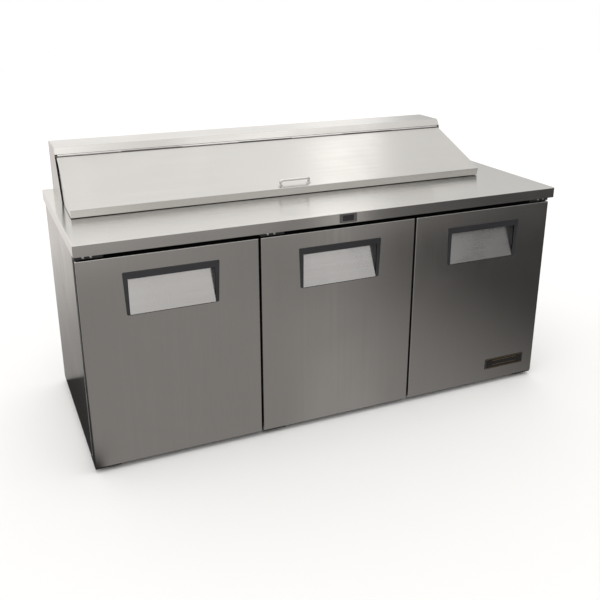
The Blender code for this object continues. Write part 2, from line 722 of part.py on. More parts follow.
def build_cabinet():
    ledge_foot = STEP_TOP - GAP - LEDGE_HEIGHT
    ledge_top = STEP_TOP - GAP
    for name, side in (("left", -1), ("right", 1)):
        low, high = sorted((side * CABINET_HALF_WIDTH, side * PANEL_INNER))
        box(f"{name}_side_panel", (low, CABINET_FRONT, FOOT_HEIGHT), (high, CABINET_REAR, UNDER_WORKTOP),
            stainless())
        low, high = sorted((side * (PANEL_INNER - GAP), side * ROOM_HALF))
        wall = box(f"{name}_liner_wall", (low, CABINET_FRONT, BASE_TOP),
                   (high, REAR_WALL_FACE, UNDER_WORKTOP), liner_white())
        low, high = sorted((side * (ROOM_HALF + 0.002), side * (ROOM_HALF - LEDGE_DEPTH)))
        unite(wall, box(f"{name}_ledge", (low, LEDGE_FRONT, ledge_foot),
                        (high, STEP_FRONT - 0.010, ledge_top), liner_white()))
    room = ROOM_HALF - GAP
    between = PANEL_INNER - GAP
    box("base_panel", (-between, CABINET_FRONT, FOOT_HEIGHT),
        (between, CABINET_REAR - BASE_SHEET, BASE_TOP - GAP), galvanised())
    steps = [(CABINET_FRONT, BASE_TOP), (CABINET_FRONT, FLOOR_TOP), (STEP_FRONT, FLOOR_TOP),
             (STEP_FRONT, STEP_TOP), (REAR_WALL_FACE, STEP_TOP), (REAR_WALL_FACE, STEP_TOP - STEP_WALL),
             (STEP_FRONT + STEP_WALL, STEP_TOP - STEP_WALL), (STEP_FRONT + STEP_WALL, BASE_TOP)]
    prism("floor_liner", steps, "X", -room, room, liner_white())
    box("rear_wall", (-between, CABINET_REAR - WALL, STEP_TOP - STEP_WALL),
        (between, CABINET_REAR, UNDER_WORKTOP), galvanised())
    box("front_header", (-room, CABINET_FRONT, HEADER_BOTTOM),
        (room, CABINET_FRONT + HEADER_DEPTH, UNDER_WORKTOP), black_steel())
    for name, side in (("left", -1), ("right", 1)):
        build_mullion(f"{name}_mullion", side * DOOR_PITCH / 2, ledge_foot, ledge_top)
    build_rear_grille(between)


def build_mullion(name, x, ledge_foot, ledge_top):
    """A post between two doorways, with a ledge behind it for the shelves' corners."""
    half = MULLION_WIDTH / 2
    rear = CABINET_FRONT + MULLION_DEPTH
    post = box(name, (x - half, CABINET_FRONT, FLOOR_TOP + GAP), (x + half, rear, HEADER_BOTTOM - GAP),
               liner_white())
    inset = 0.004
    unite(post, box(f"{name}_ledge", (x - half + inset, rear - 0.002, ledge_foot),
                    (x + half - inset, rear + MULLION_LEDGE, ledge_top), liner_white()))


def build_rear_grille(half):
    """The machine space's cover at the back, with louvre slots, and the supply's inlet."""
    top = STEP_TOP - STEP_WALL - GAP
    grille = box("rear_grille", (-half, CABINET_REAR - GRILLE_SHEET, BASE_TOP), (half, CABINET_REAR, top),
                 galvanised())
    slots = bmesh.new()
    for block in SLOT_BLOCKS:
        for row in range(SLOT_ROWS):
            z = BASE_TOP + FIRST_SLOT + row * SLOT_PITCH
            put_box(slots, (block - SLOT_HALF, CABINET_REAR - 0.01, z),
                    (block + SLOT_HALF, CABINET_REAR + 0.01, z + SLOT_HEIGHT))
    subtract(grille, add_object("rear_grille_slots", slots, galvanised()))
    profile = [(0.016, 0.0), (0.016, 0.003), (0.011, 0.0045), (0.011, 0.0072)]
    place = (INLET_PLACE[0], CABINET_REAR + GAP, INLET_PLACE[1])
    turned("power_inlet", profile, place, "Y", seal_black(), sides=20)





def build_feet():
    profile = [(0.022, 0.0), (0.022, 0.005), (0.012, 0.009), (0.012, FOOT_HEIGHT - GAP)]
    for name, (x, y) in FOOT_PLACES.items():
        turned(f"foot_{name}", profile, (x, y, 0.0), "Z", seal_black(), sides=20)


def build_shelf(number):
    """A wire shelf: a rim, two cross rods below, and rods from front to back."""
    middle = door_middle(number)
    side = ROOM_HALF - 0.004
    between = DOOR_PITCH / 2 - 0.003
    left = middle - between if number > 1 else -side
    right = middle + between if number < 3 else side
    foot = STEP_TOP
    centre = ((left + right) / 2, (SHELF_FRONT + SHELF_REAR) / 2)
    half = ((right - left) / 2, (SHELF_REAR - SHELF_FRONT) / 2)
    loops = []
    rim_top = foot + SHELF_RIM
    for inset, level in ((0.0, foot), (0.0, rim_top), (SHELF_RIM, rim_top), (SHELF_RIM, foot)):
        size = (half[0] - inset, half[1] - inset)
        loops.append(ring_of_points((*centre, level), size, 0.012 - inset, "Z", 2))
    shelf = loft(f"shelf_{number}", loops, liner_white(), ring=True)
    into_rim = 0.003
    rods = bmesh.new()
    for index in range(1, SHELF_RODS):
        x = left + SHELF_RIM + (right - left - 2 * SHELF_RIM) * index / SHELF_RODS
        put_box(rods, (x - ROD_HALF, SHELF_FRONT + into_rim, foot + 0.0035),
                (x + ROD_HALF, SHELF_REAR - into_rim, foot + 0.0065))
    unite(shelf, add_object(f"shelf_{number}_rods", rods, liner_white()))
    cross = bmesh.new()
    for y in CROSS_RODS:
        put_box(cross, (left + into_rim, y - CROSS_ROD_HALF, foot + 0.0008),
                (right - into_rim, y + CROSS_ROD_HALF, foot + 0.0045))
    unite(shelf, add_object(f"shelf_{number}_cross_rods", cross, liner_white()))


def build_fan(name, centre, radius, hub, blades, finish):
    """A fan that turns about Y: a hub and pitched blades."""
    axis = pivot(f"{name}_axis", centre)
    front = -FAN_DEPTH / 2
    profile = [(hub * 0.8, front), (hub, front + 0.003), (hub, -front)]
    fan = turned(name, profile, centre, "Y", finish, axis, sides=16)
    half_sheet, half_width = 0.0012, radius * 0.26
    vanes = bmesh.new()
    for blade in range(blades):
        piece = bmesh.new()
        put_box(piece, (hub * 0.7, -half_sheet, -half_width), (radius, half_sheet, half_width))
        pitch = Matrix.Rotation(math.radians(26), 4, "X")
        turn = Matrix.Rotation(2 * math.pi * blade / blades, 4, "Y")
        bmesh.ops.transform(piece, matrix=Matrix.Translation(centre) @ turn @ pitch, verts=piece.verts[:])
        copy = bpy.data.meshes.new("vane")
        piece.to_mesh(copy)
        piece.free()
        vanes.from_mesh(copy)
    unite(fan, add_object(f"{name}_vanes", vanes, finish))


def build_refrigeration():
    aluminium = material("coil_aluminium", (0.70, 0.71, 0.72), 0.4, 1.0)
    fan_black = material("fan_black", (0.03, 0.03, 0.03), 0.5, 0.0)
    build_evaporator(aluminium, fan_black)
    build_condensing_unit(aluminium, fan_black)


def build_evaporator(aluminium, fan_black):
    """A housing with a fan mouth, outlet slots and the thermostat's dial; coil and fan are inside."""
    rear = REAR_WALL_FACE
    front = rear - EVAPORATOR_DEPTH
    shell = EVAPORATOR_SHELL
    fan_x, fan_z = EVAPORATOR_FAN
    housing = box("evaporator_housing", (-EVAPORATOR_HALF, front, EVAPORATOR_FOOT),
                  (EVAPORATOR_HALF, rear, EVAPORATOR_TOP), liner_white())
    room_low = (shell - EVAPORATOR_HALF, front + shell, EVAPORATOR_FOOT + shell)
    room_high = (EVAPORATOR_HALF - shell, rear + 0.010, EVAPORATOR_TOP - shell)
    subtract(housing, box("evaporator_room", room_low, room_high, liner_white()))
    mouth_radius = EVAPORATOR_FAN_RADIUS + 0.006
    subtract(housing, cylinder("evaporator_mouth", (fan_x, front, fan_z), "Y", mouth_radius, 0.010,
                               liner_white()))
    outlets = bmesh.new()
    for row in range(OUTLET_ROWS):
        z = EVAPORATOR_FOOT + 0.035 + row * OUTLET_PITCH
        put_box(outlets, (OUTLET_SPAN[0], front - 0.005, z),
                (OUTLET_SPAN[1], front + 0.005, z + OUTLET_HEIGHT))
    subtract(housing, add_object("evaporator_outlets", outlets, liner_white()))

    side, end, back = 0.020, 0.030, rear - 0.004
    coil = box("evaporator_coil", (side - EVAPORATOR_HALF, back - COIL_DEPTH, EVAPORATOR_FOOT + end),
               (EVAPORATOR_HALF - side, back, EVAPORATOR_TOP - end), aluminium)
    motor_place = (fan_x, back - COIL_DEPTH - 0.008, fan_z)
    unite(coil, cylinder("evaporator_motor", motor_place, "Y", 0.022, MOTOR_LENGTH, aluminium, sides=20))
    fan_place = (fan_x, rear - 0.076, fan_z)
    build_fan("evaporator_fan", fan_place, EVAPORATOR_FAN_RADIUS, EVAPORATOR_HUB, 5, fan_black)
    axis = pivot("thermostat_axis", (DIAL_PLACE[0], front, DIAL_PLACE[1]))
    profile = [(0.017, -GAP), (0.017, -0.008), (0.014, -0.016), (0.012, -0.017)]
    turned("thermostat_dial", profile, axis.location, "Y", fan_black, axis)


def build_condensing_unit(aluminium, fan_black):
    """Compressor, condenser coil and its fan, on the base panel."""
    profile = [(0.058, 0.0), (0.066, 0.012), (0.066, 0.095), (0.062, 0.120), (0.045, 0.145), (0.020, 0.156)]
    turned("compressor", profile, (*COMPRESSOR_PLACE, BASE_TOP), "Z", black_steel(), sides=28)
    front = CONDENSER_REAR - COIL_DEPTH
    coil = box("condenser_coil", (CONDENSER_SPAN[0], front, BASE_TOP),
               (CONDENSER_SPAN[1], CONDENSER_REAR, CONDENSER_TOP), aluminium)
    motor_place = (CONDENSER_FAN[0], front - 0.008, CONDENSER_FAN[2])
    unite(coil, cylinder("condenser_motor", motor_place, "Y", 0.030, MOTOR_LENGTH, aluminium, sides=20))
    build_fan("condenser_fan", CONDENSER_FAN, CONDENSER_FAN_RADIUS, CONDENSER_HUB, 4, fan_black)


def main():
    clear_scene()
    build_worktop()
    build_pans()
    build_hood()
    build_lid(pivot("lid_axis", (0.0, LID_AXIS.x, LID_AXIS.y)))
    build_display()
    build_cabinet()
    build_feet()
    for number in (1, 2, 3):
        axis = build_door(number)
        if number == 3:
            build_badge(axis)
        build_hinge_brackets(number)
        build_shelf(number)
    build_refrigeration()


main()
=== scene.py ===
"""Looks for the three-door refrigerated preparation counter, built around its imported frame.

Metres, in the frame's axes: X runs along the counter to the right of someone in front of it,
-Y is the front, and Z = 0 is the floor.
"""

import json
import math

import bmesh
import bpy
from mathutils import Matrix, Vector


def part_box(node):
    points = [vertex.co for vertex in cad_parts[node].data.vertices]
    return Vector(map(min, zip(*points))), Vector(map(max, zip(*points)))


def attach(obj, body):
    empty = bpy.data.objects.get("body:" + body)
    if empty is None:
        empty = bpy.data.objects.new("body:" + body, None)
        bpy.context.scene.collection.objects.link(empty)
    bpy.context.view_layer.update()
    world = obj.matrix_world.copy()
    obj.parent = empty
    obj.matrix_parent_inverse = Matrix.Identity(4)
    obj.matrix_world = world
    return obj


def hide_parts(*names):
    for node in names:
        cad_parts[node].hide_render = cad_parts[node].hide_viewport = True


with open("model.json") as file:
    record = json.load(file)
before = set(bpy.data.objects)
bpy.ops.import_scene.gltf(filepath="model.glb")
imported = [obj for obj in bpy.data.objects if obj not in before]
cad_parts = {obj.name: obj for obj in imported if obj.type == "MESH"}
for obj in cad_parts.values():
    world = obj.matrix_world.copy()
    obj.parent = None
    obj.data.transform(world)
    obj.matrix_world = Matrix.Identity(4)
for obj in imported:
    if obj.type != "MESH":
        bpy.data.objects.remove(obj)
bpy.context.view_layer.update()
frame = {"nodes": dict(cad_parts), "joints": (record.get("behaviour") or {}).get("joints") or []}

# Places read from the frame
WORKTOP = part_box("worktop")
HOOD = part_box("hood_left_cheek")[0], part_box("hood_right_cheek")[1]
DOORS = {number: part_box(f"door_{number}_skin") for number in (1, 2, 3)}
HANDLES = {number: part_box(f"door_{number}_handle") for number in (1, 2, 3)}
JOINTS = {joint["name"]: joint for joint in frame["joints"]}

# Sheet metal
GAP = 0.0003
SHEET = 0.0012
WORKTOP_SHEET = 0.002
BEND = 0.0025

# Doors: the handle's pocket lies behind its bar, open at the bottom
DOOR_FRONT = DOORS[1][0].y
DOOR_BACK = DOORS[1][1].y
DOOR_RETURN = 0.0075
GASKET_INSET = 0.009
POCKET_HALF = 0.145
POCKET_DEPTH = 0.030
POCKET_RISE = 0.014
HANDLE_BAR = 0.024
HANDLE_LIP = 0.006
HANDLE_WALL = 0.0015
HANDLE_PROUD = 0.0025
HANDLE_BOTTOM_HALF = 0.1555

# Pan well
WELL_CENTRE = Vector((-0.0555, 0.1165))
WELL_HALF_DEPTH = 0.164
WELL_CORNER = 0.012
PAN_COUNT = 6
PAN_PITCH = 0.2655
LEDGE_DROP = 0.008
LEDGE_WIDTH = 0.009

# Hood and lid, in the plane across X
HOOD_LEFT, HOOD_RIGHT = HOOD[0].x, HOOD[1].x
HOOD_TOP, HOOD_REAR = HOOD[1].z, HOOD[1].y
WORKTOP_TOP = WORKTOP[1].z
LID_AXIS = Vector(JOINTS["lid_hinge"]["pos_m"][1:])
LID_FOLD = Vector((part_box("lid_skin")[0].y, WORKTOP_TOP + 0.0315))
LID_LIP = Vector((LID_FOLD.x + 0.006, WORKTOP_TOP + 0.0028))
LID_SIDE_FOOT = Vector((0.128, LID_LIP.y))
LID_TAPER = 0.020
LID_DOWN = (LID_FOLD - LID_AXIS).normalized()
LID_IN = Vector((-LID_DOWN.y, LID_DOWN.x))
BAND_TOP = Vector((0.2365, HOOD_TOP))
BAND_BOTTOM = Vector((0.2187, HOOD_TOP - 0.0255))
KNUCKLES = 7

PLANES = {"X": (1, 2), "Y": (0, 2), "Z": (0, 1)}
DIAL_TURN = math.radians(270)
DIAL_MARKS = 10


# ---- materials

class Nodes:
    """A shader's node tree, with short ways to add its nodes and join them."""

    def __init__(self, tree):
        self.tree = tree

    def add(self, kind, **values):
        node = self.tree.nodes.new(kind)
        for key, value in values.items():
            setattr(node, key, value)
        return node

    def feed(self, socket, value):
        """Gives a socket its own value, or another node's output."""
        if isinstance(value, bpy.types.NodeSocket):
            self.tree.links.new(value, socket)
        else:
            socket.default_value = value

    def fill(self, node, **values):
        """Feeds a node's sockets by name."""
        for name, value in values.items():
            self.feed(node.inputs[name.replace("_", " ")], value)
        return node

    def math(self, operation, one, two=0.0):
        node = self.add("ShaderNodeMath", operation=operation)
        self.feed(node.inputs[0], one)
        self.feed(node.inputs[1], two)
        return node.outputs["Value"]

    def both(self, one, two):
        return self.math("MULTIPLY", one, two)

    def mapped(self, source, start, end, low, high, kind):
        """A value mapped from start..end to low..high."""
        node = self.add("ShaderNodeMapRange", interpolation_type=kind)
        self.fill(node, Value=source, From_Min=start, From_Max=end, To_Min=low, To_Max=high)
        return node.outputs["Result"]

    def ramp(self, source, start, end, low=0.0, high=1.0):
        """A smooth step from low to high as the source goes from start to end."""
        return self.mapped(source, start, end, low, high, "SMOOTHSTEP")

    def mix(self, share, one, two):
        node = self.add("ShaderNodeMix", data_type="FLOAT")
        self.feed(node.inputs[0], share)
        self.feed(node.inputs[2], one)
        self.feed(node.inputs[3], two)
        return node.outputs[0]

    def axes(self, vector):
        node = self.fill(self.add("ShaderNodeSeparateXYZ"), Vector=vector)
        return node.outputs["X"], node.outputs["Y"], node.outputs["Z"]

    def towards(self, way, direction):
        """The cosine of the angle between a direction and the way looked."""
        node = self.add("ShaderNodeVectorMath", operation="DOT_PRODUCT")
        self.feed(node.inputs[0], way)
        self.feed(node.inputs[1], direction)
        return node.outputs["Value"]

    def glow(self, kind, colour, strength):
        """An Emission or Background shader."""
        return self.fill(self.add(kind), Color=(*colour, 1.0), Strength=strength).outputs[0]

    def by_ray(self, ray, other, shown, output):
        """Shows one shader to rays of one kind, and the other shader to all other rays."""
        mixed = self.add("ShaderNodeMixShader")
        self.feed(mixed.inputs["Fac"], self.add("ShaderNodeLightPath").outputs[ray])
        self.feed(mixed.inputs[1], other)
        self.feed(mixed.inputs[2], shown)
        self.feed(self.tree.nodes[output].inputs["Surface"], mixed.outputs["Shader"])


class Finish(Nodes):
    """A procedural material, built node by node round one Principled shader."""

    def __init__(self, name, colour, roughness, metallic=0.0, **sockets):
        self.material = bpy.data.materials.new(name)
        self.material.use_nodes = True
        self.material.diffuse_color = (*colour, 1.0)
        super().__init__(self.material.node_tree)
        self.shader = self.tree.nodes["Principled BSDF"]
        self.colour = colour
        self.fill(self.shader, Base_Color=(*colour, 1.0), Roughness=roughness, Metallic=metallic, **sockets)
        self.place = self.add("ShaderNodeTexCoord").outputs["Object"]

    def stretched(self, scale, turn=(0.0, 0.0, 0.0)):
        """Object coordinates with their own scale along X, Y and Z."""
        node = self.add("ShaderNodeMapping")
        return self.fill(node, Scale=scale, Rotation=turn, Vector=self.place).outputs["Vector"]

    def noise(self, scale, detail=2.0, turn=(0.0, 0.0, 0.0), distortion=0.0):
        """Noise, given one scale for all three axes or a scale for each."""
        scales = scale if isinstance(scale, tuple) else (scale, scale, scale)
        node = self.add("ShaderNodeTexNoise")
        self.fill(node, Scale=1.0, Detail=detail, Distortion=distortion, Vector=self.stretched(scales, turn))
        return node.outputs["Fac"]

    def spread(self, source, low, high, start=0.3, end=0.7):
        return self.mapped(source, start, end, low, high, "LINEAR")

    def tint(self, share, other):
        """Base colour that goes towards another colour as share goes from 0 to 1."""
        node = self.add("ShaderNodeMix", data_type="RGBA")
        self.feed(node.inputs[6], (*self.colour, 1.0))
        self.feed(node.inputs[7], (*other, 1.0))
        self.feed(node.inputs["Factor"], share)
        self.fill(self.shader, Base_Color=node.outputs[2])

    def lay_tangent(self, direction):
        """The way in which the gloss is drawn out, laid onto each face by the shader."""
        x, y, z = direction
        node = self.fill(self.add("ShaderNodeCombineXYZ"), X=x, Y=y, Z=z)
        self.fill(self.shader, Tangent=node.outputs["Vector"])

    def rough(self, value):
        self.fill(self.shader, Roughness=value)

    def bump(self, height, strength, distance):
        node = self.fill(self.add("ShaderNodeBump"), Strength=strength, Distance=distance, Height=height)
        self.fill(self.shader, Normal=node.outputs["Normal"])


def dimmed(colour, share):
    return tuple(share * value for value in colour)


def along(axis, across, lengthwise):
    """A scale that is short across the grain and long with it."""
    return tuple(lengthwise if name == axis else across for name in "XYZ")


ACROSS_GRAIN = {"X": (0.0, 0.3, 1.0), "Y": (1.0, 0.0, 0.3), "Z": (1.0, 0.3, 0.0)}


def brushed(name, axis, colour=(0.66, 0.65, 0.63), rough=0.20, grain=0.25, wear=0.04):
    """Brushed stainless: fine grain along one axis, wiped smudges and a few long scratches."""
    finish = Finish(name, colour, rough, metallic=1.0, Anisotropic=0.85)
    finish.lay_tangent(ACROSS_GRAIN[axis])
    fine = finish.noise(along(axis, 1500.0, 9.0), detail=3.0)
    bands = finish.noise(along(axis, 120.0, 1.3), detail=4.0)
    smudge = finish.noise(4.5, detail=5.0, distortion=0.7)
    scuff = finish.noise((260.0, 5.0, 22.0), detail=1.0, turn=(0.5, 0.9, 0.4))
    scratch = finish.spread(scuff, 0.0, 1.0, 0.70, 0.78)
    dull = finish.spread(smudge, -wear / 2, wear)
    base = finish.spread(bands, rough - 0.018, rough + 0.018)
    finish.rough(finish.math("ADD", finish.math("ADD", base, dull), finish.both(scratch, 0.035)))
    mixed = finish.math("ADD", finish.spread(bands, 0.0, 0.5), finish.spread(smudge, 0.0, 0.5))
    finish.tint(mixed, dimmed(colour, 0.955))
    finish.bump(finish.math("SUBTRACT", fine, finish.both(scratch, 0.15)), grain, 0.00006)
    return finish.material


def galvanised(name):
    """Zinc coated steel: large soft spangles that differ in tone and gloss."""
    finish = Finish(name, (0.55, 0.56, 0.57), 0.40, metallic=1.0)
    places = finish.stretched((150.0, 150.0, 150.0))
    cells = finish.fill(finish.add("ShaderNodeTexVoronoi"), Scale=1.0, Vector=places)
    tone = finish.fill(finish.add("ShaderNodeSeparateColor"), Color=cells.outputs["Color"])
    finish.tint(tone.outputs["Red"], (0.50, 0.51, 0.525))
    finish.rough(finish.spread(tone.outputs["Green"], 0.35, 0.45, 0.0, 1.0))
    finish.bump(finish.noise(420.0, detail=3.0), 0.15, 0.0001)
    return finish.material


def moulded(name, colour, rough, texture, depth, other, **sockets):
    """Moulded plastic or rubber: a fine grain, and a slight change of tone and gloss over it."""
    finish = Finish(name, colour, rough, **sockets)
    cloud = finish.noise(7.0, detail=4.0)
    grain = finish.noise(texture)
    finish.tint(finish.spread(cloud, 0.0, 1.0), other)
    finish.rough(finish.spread(cloud, rough - 0.05, rough + 0.07))
    finish.bump(grain, depth, 0.00012)
    return finish.material


def coated(name, colour, rough, chip):
    """Paint or epoxy over metal: orange peel, cloudy patches of dust and a few chips."""
    finish = Finish(name, colour, rough)
    cloud = finish.noise(11.0, detail=5.0)
    peel = finish.noise(330.0)
    chips = finish.spread(finish.noise(95.0, detail=3.0), 0.0, 1.0, 0.70, 0.74)
    finish.tint(finish.math("MAXIMUM", chips, finish.spread(cloud, 0.0, 0.25)), chip)
    finish.rough(finish.spread(cloud, rough - 0.06, rough + 0.10))
    finish.bump(peel, 0.2, 0.00015)
    return finish.material


def finned(name, axis, pitch, colour):
    """Bare aluminium with a satin tone that changes from fin to fin."""
    finish = Finish(name, colour, 0.34, metallic=1.0)
    rows = finish.noise(along(axis, 6.0, 1.0 / pitch), detail=1.0)
    finish.tint(finish.spread(rows, 0.0, 1.0), dimmed(colour, 0.72))
    finish.rough(finish.spread(rows, 0.28, 0.46))
    finish.bump(finish.noise(700.0), 0.1, 0.0001)
    return finish.material


STEEL = "brushed_stainless"

# Each look: its material slot, and its material
LOOKS = {
    "steel_x": (STEEL, brushed("stainless_long_grain", "X")),
    "steel_y": (STEEL, brushed("stainless_side_grain", "Y")),
    "steel_z": (STEEL, brushed("stainless_upright_grain", "Z")),
    "steel_bright": (STEEL, brushed("stainless_polished", "X", (0.74, 0.73, 0.72), 0.12, 0.15)),
    "steel_pocket": (STEEL, brushed("stainless_pocket", "X", (0.68, 0.67, 0.665), 0.26, 0.15, 0.08)),
    "steel_pan": ("pan_stainless", brushed("stainless_pan", "X", (0.66, 0.66, 0.65), 0.20, 0.2, 0.08)),
    # Hinge knuckles: stainless coloured near black, which is painted shade from the band above them
    "steel_painted_shade": (STEEL, brushed("hinge_steel_painted_shade", "X", (0.16, 0.155, 0.15), 0.36, 0.2, 0.05)),
    "zinc": ("galvanised_steel", galvanised("zinc_sheet")),
    "white": ("liner_white",
              moulded("liner_moulding", (0.80, 0.81, 0.82), 0.38, 500.0, 0.12, (0.72, 0.73, 0.73))),
    "grip": ("handle_grey",
             moulded("grip_moulding", (0.019, 0.019, 0.022), 0.50, 1100.0, 0.30, (0.027, 0.027, 0.031))),
    "rubber": ("seal_black", moulded("seal_rubber", (0.011, 0.011, 0.012), 0.70, 800.0, 0.20,
                                     (0.018, 0.018, 0.018), Specular_IOR_Level=0.2)),
    "black": ("black_steel", coated("black_paint", (0.016, 0.016, 0.017), 0.45, (0.032, 0.032, 0.033))),
    "wire": ("shelf_coating", coated("epoxy_wire", (0.74, 0.75, 0.75), 0.32, (0.60, 0.60, 0.58))),
    "fan": ("fan_black",
            moulded("fan_moulding", (0.020, 0.020, 0.020), 0.40, 900.0, 0.15, (0.035, 0.035, 0.035))),
    "fins": ("coil_aluminium", finned("fin_aluminium", "X", 0.004, (0.72, 0.73, 0.74))),
    "copper": ("coil_aluminium", brushed("copper_tube", "X", (0.70, 0.36, 0.22), 0.30, 0.2, 0.10)),
    "screw": ("galvanised_steel", brushed("zinc_screw", "Z", (0.70, 0.70, 0.68), 0.22, 0.2, 0.05)),
    "gold": ("badge_black", brushed("brass_line", "X", (0.66, 0.47, 0.18), 0.30, 0.2, 0.05)),
    "badge": ("badge_black", coated("badge_enamel", (0.012, 0.011, 0.011), 0.25, (0.03, 0.03, 0.03))),
    "bezel": ("display_bezel",
              moulded("bezel_moulding", (0.085, 0.083, 0.082), 0.40, 900.0, 0.2, (0.070, 0.069, 0.068))),
    "lens": ("display_bezel",
             moulded("lens_dark", (0.008, 0.007, 0.008), 0.12, 300.0, 0.02, (0.012, 0.011, 0.012))),
}


# ---- mesh helpers

def middle_and_half(box):
    low, high = box
    return (low + high) / 2, (high - low) / 2


def quarter(steps):
    """Sine and cosine at equal steps of a quarter turn."""
    angles = [math.pi / 2 * step / steps for step in range(steps + 1)]
    return [(math.sin(angle), math.cos(angle)) for angle in angles]


def spoke(angle):
    """A unit vector across Y."""
    return Vector((math.cos(angle), 0.0, math.sin(angle)))


def about(centre, radius, one, two, sides):
    """A ring of points in the plane of two directions."""
    turns = [2 * math.pi * side / sides for side in range(sides)]
    return [centre + radius * (math.cos(turn) * one + math.sin(turn) * two) for turn in turns]


def circle(centre, radius, axis, sides=24):
    one, two = [Vector([float(index == kept) for index in range(3)]) for kept in PLANES[axis]]
    return about(Vector(centre), radius, one, two, sides)


def ring_about(centre, way, radius, sides):
    normal = way.orthogonal().normalized()
    return about(centre, radius, normal, way.cross(normal), sides)


def rounded(centre, half, radius, axis, steps=5):
    """A rectangle with round corners, across the axis; half holds its two half sizes."""
    first, second = PLANES[axis]
    points = []
    for turn in range(4):
        middle = math.pi / 4 + turn * math.pi / 2
        corner = (math.copysign(half[0] - radius, math.cos(middle)),
                  math.copysign(half[1] - radius, math.sin(middle)))
        for step in range(steps + 1):
            angle = turn * math.pi / 2 + step / steps * math.pi / 2
            point = Vector(centre)
            point[first] += corner[0] + radius * math.cos(angle)
            point[second] += corner[1] + radius * math.sin(angle)
            points.append(point)
    return points


def fillet(points, radius, steps=5):
    """A line of points with its corners rounded."""
    made = [points[0].copy()]
    for before, point, after in zip(points, points[1:], points[2:]):
        back = before - point
        onward = after - point
        reach = radius / math.tan(back.angle(onward) / 2)
        start = point + reach * back.normalized()
        end = point + reach * onward.normalized()
        for step in range(steps + 1):
            share = step / steps
            made.append((1 - share) ** 2 * start + 2 * share * (1 - share) * point + share ** 2 * end)
    return made + [points[-1].copy()]


def put_loft(bm, loops, ring=False, caps=True):
    """Skins a row of loops; a ring joins the last to the first."""
    rows = [[bm.verts.new(point) for point in loop] for loop in loops]
    onward = rows[1:] + rows[:1] if ring else rows[1:]
    for one, two in zip(rows, onward):
        for index in range(len(one)):
            after = (index + 1) % len(one)
            bm.faces.new((one[index], one[after], two[after], two[index]))
    if caps and not ring:
        bm.faces.new(rows[0])
        bm.faces.new(rows[-1])
    return rows


def put_frames(bm, box, axis, rows, steps, ring=False):
    """Skins round-cornered rectangles: each row is its inset from the box, its place along the
    axis, and its corner radius."""
    centre, half = middle_and_half(box)
    first, second = PLANES[axis]
    loops = []
    for inset, place, radius in rows:
        centre["XYZ".index(axis)] = place
        loops.append(rounded(centre, (half[first] - inset, half[second] - inset), radius, axis, steps))
    put_loft(bm, loops, ring)


def put_prism(bm, outline, axis, start, end):
    first, second = PLANES[axis]
    loops = []
    for place in (start, end):
        loop = []
        for point in outline:
            corner = Vector((0.0, 0.0, 0.0))
            corner[first], corner[second], corner["XYZ".index(axis)] = point[0], point[1], place
            loop.append(corner)
        loops.append(loop)
    put_loft(bm, loops)


def put_box(bm, low, high):
    low, high = Vector(low), Vector(high)
    put_prism(bm, [(low.x, low.y), (high.x, low.y), (high.x, high.y), (low.x, high.y)], "Z", low.z, high.z)


def put_turned(bm, profile, centre, axis, sides=24):
    """A turned shape: the profile holds (radius, distance along the axis) pairs."""
    loops = []
    for radius, distance in profile:
        place = Vector(centre)
        place["XYZ".index(axis)] += distance
        loops.append(circle(place, radius, axis, sides))
    put_loft(bm, loops)


def put_tube(bm, path, radius, sides=10, closed=False):
    """A round wire or pipe along a line of points."""
    rings = []
    normal = None
    count = len(path)
    for index, point in enumerate(path):
        before = path[index - 1] if index or closed else point
        after = path[(index + 1) % count] if index + 1 < count or closed else point
        way = (after - before).normalized()
        if normal is None:
            normal = way.orthogonal().normalized()
        normal = (normal - normal.dot(way) * way).normalized()
        rings.append(about(point, radius, normal, way.cross(normal), sides))
    put_loft(bm, rings, ring=closed)


def add_object(name, data):
    obj = bpy.data.objects.new(name, data)
    bpy.context.scene.collection.objects.link(obj)
    return obj


def new_object(name, bm, look):
    bmesh.ops.remove_doubles(bm, verts=bm.verts[:], dist=1e-6)
    bmesh.ops.recalc_face_normals(bm, faces=bm.faces[:])
    mesh = bpy.data.meshes.new(name)
    bm.to_mesh(mesh)
    bm.free()
    mesh.materials.append(LOOKS[look][1])
    return add_object(name, mesh)


def round_edges(obj, width, segments=3, angle=32.0):
    bevel = obj.modifiers.new("round_edges", "BEVEL")
    bevel.width = width
    bevel.segments = segments
    bevel.limit_method = "ANGLE"
    bevel.angle_limit = math.radians(angle)


def even_faces(obj):
    even = obj.modifiers.new("even_faces", "WEIGHTED_NORMAL")
    even.keep_sharp = True


def settle(obj, body, replaced, sharp=32.0):
    """Applies the modifiers, keeps flat faces flat and round edges smooth, and mounts the piece."""
    graph = bpy.context.evaluated_depsgraph_get()
    mesh = bpy.data.meshes.new_from_object(obj.evaluated_get(graph))
    plain = obj.data
    obj.modifiers.clear()
    obj.data = mesh
    bpy.data.meshes.remove(plain)
    mesh.name = obj.name
    mesh.shade_smooth()
    mesh.set_sharp_from_angle(angle=math.radians(sharp))
    even_faces(obj)
    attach(obj, body)
    if replaced:
        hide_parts(*replaced)


def piece(name, bm, look, body, replaced=(), edge=0.0, segments=3, cut=None):
    """Finishes a mesh as a named piece that rides on a body and stands for CAD nodes."""
    obj = new_object(name, bm, look)
    if edge:
        round_edges(obj, edge, segments)
    if cut is not None:
        tool = new_object(name + "_cut", cut, look)
        hole = obj.modifiers.new("opening", "BOOLEAN")
        hole.operation = "DIFFERENCE"
        hole.solver = "EXACT"
        hole.object = tool
    settle(obj, body, replaced)
    if cut is not None:
        bpy.data.objects.remove(tool)


